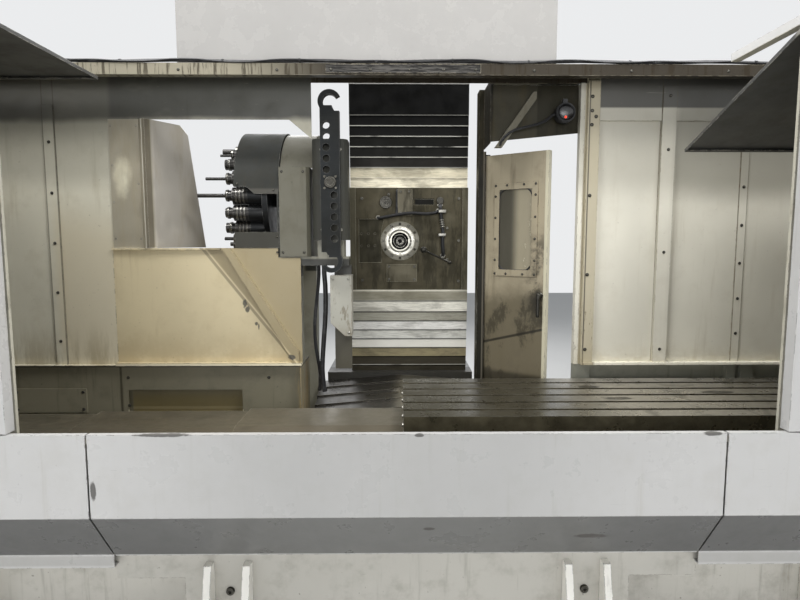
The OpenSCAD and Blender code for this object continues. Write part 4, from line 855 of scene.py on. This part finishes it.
def tube(bm, pts, r, n=12, turns=4):
    """A round tube along a smooth curve through the points, rounded at its ends."""
    route = []
    last = len(pts) - 1
    for i in range(last):
        p0, p1, p2, p3 = (Vector(pts[max(0, min(last, k))]) for k in (i - 1, i, i + 1, i + 2))
        for s in range(turns):
            t = s / turns
            route.append(0.5 * ((2 * p1) + (p2 - p0) * t + (2 * p0 - 5 * p1 + 4 * p2 - p3) * t * t
                                + (3 * p1 - p0 - 3 * p2 + p3) * t ** 3))
    route.append(Vector(pts[-1]))
    last = len(route) - 1
    side = None
    rings = []
    for i, p in enumerate(route):
        d = (route[min(i + 1, last)] - route[max(i - 1, 0)]).normalized()
        if side is None:
            side = d.orthogonal().normalized()
        side = (side - d * side.dot(d)).normalized()
        up = d.cross(side)
        q = r * (0.82 if i in (0, last) else 1.0)
        angles = [2 * math.pi * k / n for k in range(n)]
        rings.append([bm.verts.new(p + q * (math.cos(a) * side + math.sin(a) * up)) for a in angles])
    closed_skin(bm, rings)


def circle_points(center, r, n, turn=0.0):
    """Points round Y."""
    angles = [turn + 2 * math.pi * k / n for k in range(n)]
    return [(center[0] + r * math.cos(a), center[1], center[2] + r * math.sin(a)) for a in angles]


# spindle nose: cap screws in the turning nose and in the fixed flange
screws("spindle_screws", circle_points((0, -0.1275, SPINDLE_Z), 0.0665, 6, 0.52), 0.0075, 0.005, socket_screw,
       screw_steel, "spindle")
screws("flange_screws", circle_points((0, -0.1175, SPINDLE_Z), 0.0915, 6), 0.0075, 0.005, socket_screw,
       body="head")


@piece("spindle", bright_steel)
def nose_rings(bm):
    for r0, r1, h in ((0.0475, 0.0515, 0.0035), (0.0725, 0.0765, 0.0025)):
        lathe_ring(bm, facing((0, -0.1275, SPINDLE_Z), FRONT), r0, r1, h)


# face plate: screws, the round cover, coolant tube, hose and pipe, lever and knob
for name, y, r, h, points in (
        ("face_screws", FOOT, 0.008, 0.005,
         [(-0.205, 1.778), (0.318, 1.778), (0.318, 1.552), (-0.205, 1.338), (0.318, 1.332), (0.06, 1.80),
          (0.255, 1.62), (0.255, 1.45), (-0.06, 1.80)]),
        ("plate_screws", FACE - 0.0075, 0.007, 0.005,
         [(-0.060, 1.342), (0.078, 1.342), (-0.060, 1.412), (0.078, 1.412)]),
        ("bracket_screws", FACE - 0.0295, 0.006, 0.004,
         [(0.004, 1.812), (0.050, 1.812), (0.004, 1.702), (0.050, 1.702)])):
    screws(name, [(x, y, z) for x, z in points], r, h, socket_screw, body="head")


@piece("head", dark_screw)
def face_cover(bm):
    lathe(bm, facing((-0.076, FOOT, 1.757), FRONT),
          [(0.034, 0), (0.034, 0.008), (0.031, 0.012), (0.020, 0.012), (0.018, 0.009), (0.010, 0.009),
           (0.008, 0.013), (0.002, 0.014)], 32)


def face_tube(name, r, route):
    """A black tube on the face plate; the route's y is counted from the plate."""
    mesh_piece(name, lambda bm: tube(bm, [(x, FACE + y, z) for x, y, z in route], r),
               "head", black_rubber)


face_tube("coolant_tube", 0.0085, [
    (-0.118, -0.002, 1.676), (-0.116, -0.022, 1.674), (-0.100, -0.034, 1.673), (-0.02, -0.046, 1.688),
    (0.06, -0.046, 1.698), (0.14, -0.040, 1.694), (0.196, -0.030, 1.702), (0.205, -0.014, 1.712),
    (0.206, -0.001, 1.714)])
face_tube("coolant_hose", 0.0095, [
    (0.216, 0.001, 1.742), (0.216, -0.022, 1.742), (0.216, -0.034, 1.722), (0.222, -0.036, 1.66),
    (0.230, -0.036, 1.60), (0.228, -0.036, 1.54), (0.232, -0.032, 1.488), (0.232, -0.014, 1.472),
    (0.232, 0.001, 1.472)])


@piece("head", screw_steel)
def hose_fittings(bm):
    for x, z, r in ((0.216, 1.742, 0.016), (0.232, 1.472, 0.015), (0.206, 1.714, 0.013),
                    (-0.118, 1.676, 0.013)):
        lathe(bm, facing((x, FACE + 0.001, z), FRONT),
              [(r, 0), (r, 0.009), (r * 0.86, 0.011), (r * 0.70, 0.011), (r * 0.70, 0.020),
               (r * 0.60, 0.022)], 6)
    for z in (1.700, 1.575):
        rounded_box(bm, (0.206, FACE - 0.050, z), (0.246, FOOT, z + 0.016), 0.003)
    for k in range(4):
        lathe_ring(bm, facing((0.222 + 0.002 * k, FACE - 0.036, 1.665 - 0.012 * k), (0.1, 0, -1)),
                   0.0096, 0.0125, 0.006, 16)


face_tube("coolant_pipe", 0.0075, [
    (-0.014, 0.001, 1.822), (-0.014, -0.018, 1.816), (-0.016, -0.022, 1.78), (-0.016, -0.024, 1.73),
    (-0.018, -0.030, 1.70), (-0.020, -0.044, 1.688)])


@piece("head", dark_screw)
def shut_off_lever(bm):
    # a round pivot, an arm and a ball grip
    lathe(bm, facing((0.128, FOOT, 1.503), FRONT),
          [(0.017, 0), (0.017, 0.016), (0.013, 0.020), (0.004, 0.021)], 24)
    a, b = Vector((0.128, FACE - 0.012, 1.503)), Vector((0.262, FACE - 0.022, 1.438))
    tube(bm, [a, a.lerp(b, 0.3), a.lerp(b, 0.7), b], 0.0045, 10)
    lathe(bm, facing(b, (b - a).normalized()),
          [(0.003, -0.003), (0.008, 0.0), (0.010, 0.008), (0.008, 0.014), (0.003, 0.018)], 16)


@piece("head", dark_screw)
def valve_knob(bm):
    lathe(bm, facing((0.215, FACE, 1.765), FRONT),
          [(0.014, 0), (0.014, 0.012), (0.019, 0.014), (0.020, 0.026), (0.017, 0.031), (0.005, 0.032)], 24)


# magazine: rings on its 18 holders, which lie round the drum's axis, and a cap with screws on its hub
POT_R, MAG = 0.225, (-0.34, 1.756)


@piece("magazine", steel("ring_steel", (0.16, 0.155, 0.14), 0.28, 0.9, edge=(0.5, 0.48, 0.44)))
def holder_rings(bm):
    for i in range(18):
        a = math.radians(i * 20)
        y, z = MAG[0] - POT_R * math.cos(a), MAG[1] - POT_R * math.sin(a)
        for x in (-0.7055, -0.722, -0.7385):
            lathe_ring(bm, facing((x, y, z), LEFT), 0.0366, 0.0387, 0.007, 28)
        lathe_ring(bm, facing((-0.782, y, z), LEFT), 0.0238, 0.0275, 0.010, 20)


@piece("magazine", screw_steel)
def magazine_hub_cap(bm):
    lathe(bm, facing((-0.6625, *MAG), LEFT),
          [(0.046, 0), (0.046, 0.006), (0.042, 0.009), (0.024, 0.009), (0.022, 0.004), (0.010, 0.004),
           (0.009, 0.010), (0.002, 0.011)], 32)
    for k in range(6):
        a = math.pi * k / 3 + 0.3
        p = (-0.671, MAG[0] + 0.034 * math.cos(a), MAG[1] + 0.034 * math.sin(a))
        socket_screw(bm, facing(p, LEFT), 0.005, 0.004)


@piece("tool_arm", dark_screw)
def arm_cap(bm):
    hub = (-0.302, -0.7045, 1.803)
    lathe(bm, facing(hub, FRONT),
          [(0.026, 0), (0.026, 0.006), (0.023, 0.009), (0.014, 0.009), (0.012, 0.006), (0.003, 0.006)], 28)
    for p in circle_points(hub, 0.0345, 4, math.pi / 4):
        socket_screw(bm, facing(p, FRONT), 0.0055, 0.005)


# screws in the walls, posts and guards
screws("left_wall_screws", grid((-1.531, -1.965), WALL - 0.0055, (1.10, 1.32, 1.54, 1.76, 1.98)),
       0.007, 0.004)
screws("panel_screws", grid((-1.262,), WALL - 0.0018, (1.56, 1.72, 1.88, 2.05))
       + grid((-1.150,), WALL - 0.0018, (1.56, 1.80, 2.05)), 0.006, 0.003, material=screw_steel)
screws("right_wall_screws", grid((1.533,), WALL - 0.0035, (1.13, 1.29, 1.45, 1.62, 1.79, 1.97))
       + grid((1.181,), WALL - 0.0175, (1.06, 1.50, 1.95, 2.18))
       + grid((2.069,), WALL - 0.0035, (1.2, 1.5, 1.8)), 0.007, 0.004)
screws("post_screws", grid((0.8385,), WALL - 0.0215, (1.06, 1.40, 1.75, 2.055, 2.115, 2.175))
       + [(0.856, WALL - 0.0215, 2.09)], 0.008, 0.004)
screws("slot_screws", grid((-1.745, -1.445), WALL - 0.0055, (0.785, 0.865))
       + grid((-1.24,), WALL + 0.0005, (0.80, 0.93)) + [(-0.60, WALL + 0.0005, 0.93)], 0.007, 0.004)
screws("beam_screws", grid((-0.28, -0.12, 0.04, 0.18, 0.31), -0.8125, (2.245,))
       + grid((-2.1, -1.7, -1.3, -0.9, -0.5, 0.55, 0.95, 1.35, 1.75, 2.15), -0.8095, (2.243,)), 0.006, 0.003)
screws("gusset_nuts", grid((0.025 - 0.586, 0.025 + 0.586), -1.4395, (0.12, 0.40)), 0.014, 0.010, socket_screw)
screws("guard_screws", grid((-0.548,), -0.6515, (1.50, 1.57))
       + [(-0.56, -0.6515, 1.775), (-0.72, -0.6515, 1.802)], 0.005, 0.003)
screws("housing_screws", grid((-0.345, -0.262), -0.6555, (1.60, 1.95)), 0.007, 0.005, socket_screw,
       screw_steel)
screws("box_screws", grid((-0.522, -0.428), -0.6545, (1.50, 1.855)), 0.006, 0.003)
screws("splash_screws", [(-0.302, -0.6495, 1.38)] + grid((-0.232,), -0.6495, (1.38, 1.135)), 0.006, 0.003,
       material=screw_steel)

# service door, ajar: its pieces are placed on the closed door and turned with it
HINGE = Matrix.Translation((0.425, -0.400, 0)) @ Matrix.Rotation(math.radians(-38), 4, "Z")
DOOR_FRONT = HINGE.to_3x3() @ Vector(FRONT)


def on_door(p):
    return HINGE @ Vector(p)


@piece("service_door", dark_screw)
def window_screws(bm):
    for x, y, z in (grid((0.066, 0.125, 0.212, 0.271), -0.0338, (1.395, 1.810))
                    + grid((0.066, 0.271), -0.0338, (1.46, 1.56, 1.66, 1.76))):
        dome_screw(bm, facing(on_door((x, y, z)), DOOR_FRONT), 0.006, 0.003)


@piece("service_door", wiper_rubber)
def window_seal(bm):
    # a loop of rubber round the glass
    r = 0.04
    x0, x1, z0, z1 = 0.084 + r, 0.254 - r, 1.413 + r, 1.792 - r
    pts = []
    for cx, cz, a0 in ((x1, z1, 0), (x0, z1, 90), (x0, z0, 180), (x1, z0, 270)):
        for k in range(4):
            a = math.radians(a0 + 30 * k)
            pts.append(on_door((cx + r * math.cos(a), -0.030, cz + r * math.sin(a))))
    tube(bm, pts + pts[:1], 0.0040, 8, 2)


@piece("service_door", dark_screw)
def latch_handle(bm):
    lathe(bm, facing(on_door((0.300, -0.0275, 1.30)), DOOR_FRONT),
          [(0.016, 0), (0.016, 0.006), (0.012, 0.010), (0.010, 0.024), (0.006, 0.026)], 20)
    a, b = on_door((0.300, -0.048, 1.30)), on_door((0.300, -0.050, 1.20))
    tube(bm, [a, a.lerp(b, 0.35), a.lerp(b, 0.7), b], 0.008, 10)


# work lamp: lens, rim and the red signal light
lens = Mat("lamp_lens", 0.12, 0.0, 0.6, 0.4)
lens.bump(lens.cells(260.0), 0.5, 0.001)
lens_glass = lens.out(lens.mix(lens.noise(60.0), (0.006, 0.006, 0.006), (0.015, 0.015, 0.016)))
red = Mat("signal_red", 0.3)
red.b.inputs["Emission Color"].default_value = (1.0, 0.05, 0.02, 1.0)
red.b.inputs["Emission Strength"].default_value = 1.6
red_light = red.out(red.mix(red.noise(80.0), (0.55, 0.02, 0.01), (0.75, 0.04, 0.02)))


@piece("base", lens_glass)
def lamp_lens(bm):
    lathe(bm, facing((0.720, -0.6935, 2.105), FRONT),
          [(0.030, -0.002), (0.030, 0.001), (0.024, 0.004), (0.012, 0.0055), (0.003, 0.006)], 28)


@piece("base", black_rubber)
def lamp_rim(bm):
    lathe_ring(bm, facing((0.720, -0.6845, 2.105), FRONT), 0.0345, 0.0405, 0.006, 32)


@piece("base", red_light)
def signal_light(bm):
    lathe(bm, facing((0.716, -0.6965, 2.083), FRONT),
          [(0.0050, -0.003), (0.0050, 0.001), (0.004, 0.004), (0.002, 0.0055)], 16)


# cable ties on the bundle along the beam, and a second thin lead beside it
CABLE = [(-2.28 + i * 0.104, -0.800, 2.2773 + 0.003 * (1 - math.cos(math.radians(i * 68))))
         for i in range(45)]


@piece("base", rubber("tie_plastic", (0.03, 0.03, 0.032), 0.4))
def cable_ties(bm):
    for i in (6, 11, 15, 18, 21, 24, 27, 31, 36, 40):
        p = Vector(CABLE[i])
        lathe_ring(bm, facing(p - Vector((0.0025, 0, 0)), (1, 0, 0)), 0.0070, 0.0095, 0.005, 20)
        rounded_box(bm, (p.x - 0.004, p.y - 0.014, p.z - 0.004),
                    (p.x + 0.004, p.y - 0.008, p.z + 0.005), 0.001)


@piece("base", black_rubber)
def thin_lead(bm):
    tube(bm, [(x, y - 0.0105 - 0.002 * math.sin(i * 0.9), z - 0.001 + 0.004 * math.sin(i * 1.7))
              for i, (x, y, z) in enumerate(CABLE[9:36])], 0.0038, 8, 5)


@piece("table", screw_steel)
def table_end_screws(bm):
    for k in range(5):
        socket_screw(bm, facing((0.0125, -1.21 + 0.11 * k, 0.885), LEFT), 0.008, 0.006)


# ---------------------------------------------------------------- stage
floor_me = bpy.data.meshes.new("floor")
floor_me.from_pydata([(-14, -14, 0), (14, -14, 0), (14, 14, 0), (-14, 14, 0)], [], [(0, 1, 2, 3)])
floor_ob = bpy.data.objects.new("floor", floor_me)
floor_mat = Mat("floor_pale", 0.65, 0.0, 0.25)
floor_me.materials.append(floor_mat.out(floor_mat.mix(
    floor_mat.noise(2.0, 3), (0.70, 0.70, 0.69), (0.74, 0.74, 0.73))))
scene.collection.objects.link(floor_ob)

# the world lights the object plainly; the camera, metal and glass see a paler backdrop
world = bpy.data.worlds.new("world")
scene.world = world
world.use_nodes = True
nt = world.node_tree
bg = nt.nodes["Background"]
bg.inputs["Color"].default_value = (0.90, 0.95, 1.0, 1.0)
bg.inputs["Strength"].default_value = 0.27
pale = nt.nodes.new("ShaderNodeBackground")
pale.inputs["Color"].default_value = (0.83, 0.84, 0.85, 1.0)
pale.inputs["Strength"].default_value = 1.0
path = nt.nodes.new("ShaderNodeLightPath")
seen = path.outputs["Is Camera Ray"]
for ray in ("Is Glossy Ray", "Is Transmission Ray"):
    either = nt.nodes.new("ShaderNodeMath")
    either.operation = "MAXIMUM"
    nt.links.new(seen, either.inputs[0])
    nt.links.new(path.outputs[ray], either.inputs[1])
    seen = either.outputs[0]
mixer = nt.nodes.new("ShaderNodeMixShader")
nt.links.new(seen, mixer.inputs[0])
nt.links.new(bg.outputs[0], mixer.inputs[1])
nt.links.new(pale.outputs[0], mixer.inputs[2])
nt.links.new(mixer.outputs[0], nt.nodes["World Output"].inputs["Surface"])


def area(name, loc, target, size, power, color=(1, 1, 1)):
    data = bpy.data.lights.new(name, "AREA")
    data.shape = "RECTANGLE"
    data.size, data.size_y = size
    data.energy = power
    data.color = color
    ob = bpy.data.objects.new(name, data)
    scene.collection.objects.link(ob)
    ob.location = loc
    ob.rotation_euler = (Vector(target) - Vector(loc)).to_track_quat("-Z", "Y").to_euler()


area("front", (0.0, -9.0, 2.3), (0.0, -0.8, 1.4), (6.0, 3.0), 190)
area("left_side", (-6.5, -8.0, 2.2), (0.5, -0.8, 1.4), (3.0, 2.5), 60)
area("right_side", (6.5, -8.0, 2.2), (-0.5, -0.8, 1.4), (3.0, 2.5), 60)
area("left_over", (-2.2, -2.0, 5.0), (1.2, -0.65, 1.4), (2.4, 1.2), 190)
area("right_over", (2.2, -2.0, 5.0), (-1.2, -0.65, 1.4), (2.4, 1.2), 190)
area("top", (0.4, -0.2, 5.4), (0.2, -0.3, 1.0), (5.0, 2.4), 40, (1.0, 0.97, 0.92))
area("back", (0.0, 5.0, 4.6), (0.0, 0.8, 1.4), (4.0, 2.0), 110)

scene.view_settings.view_transform = "Standard"
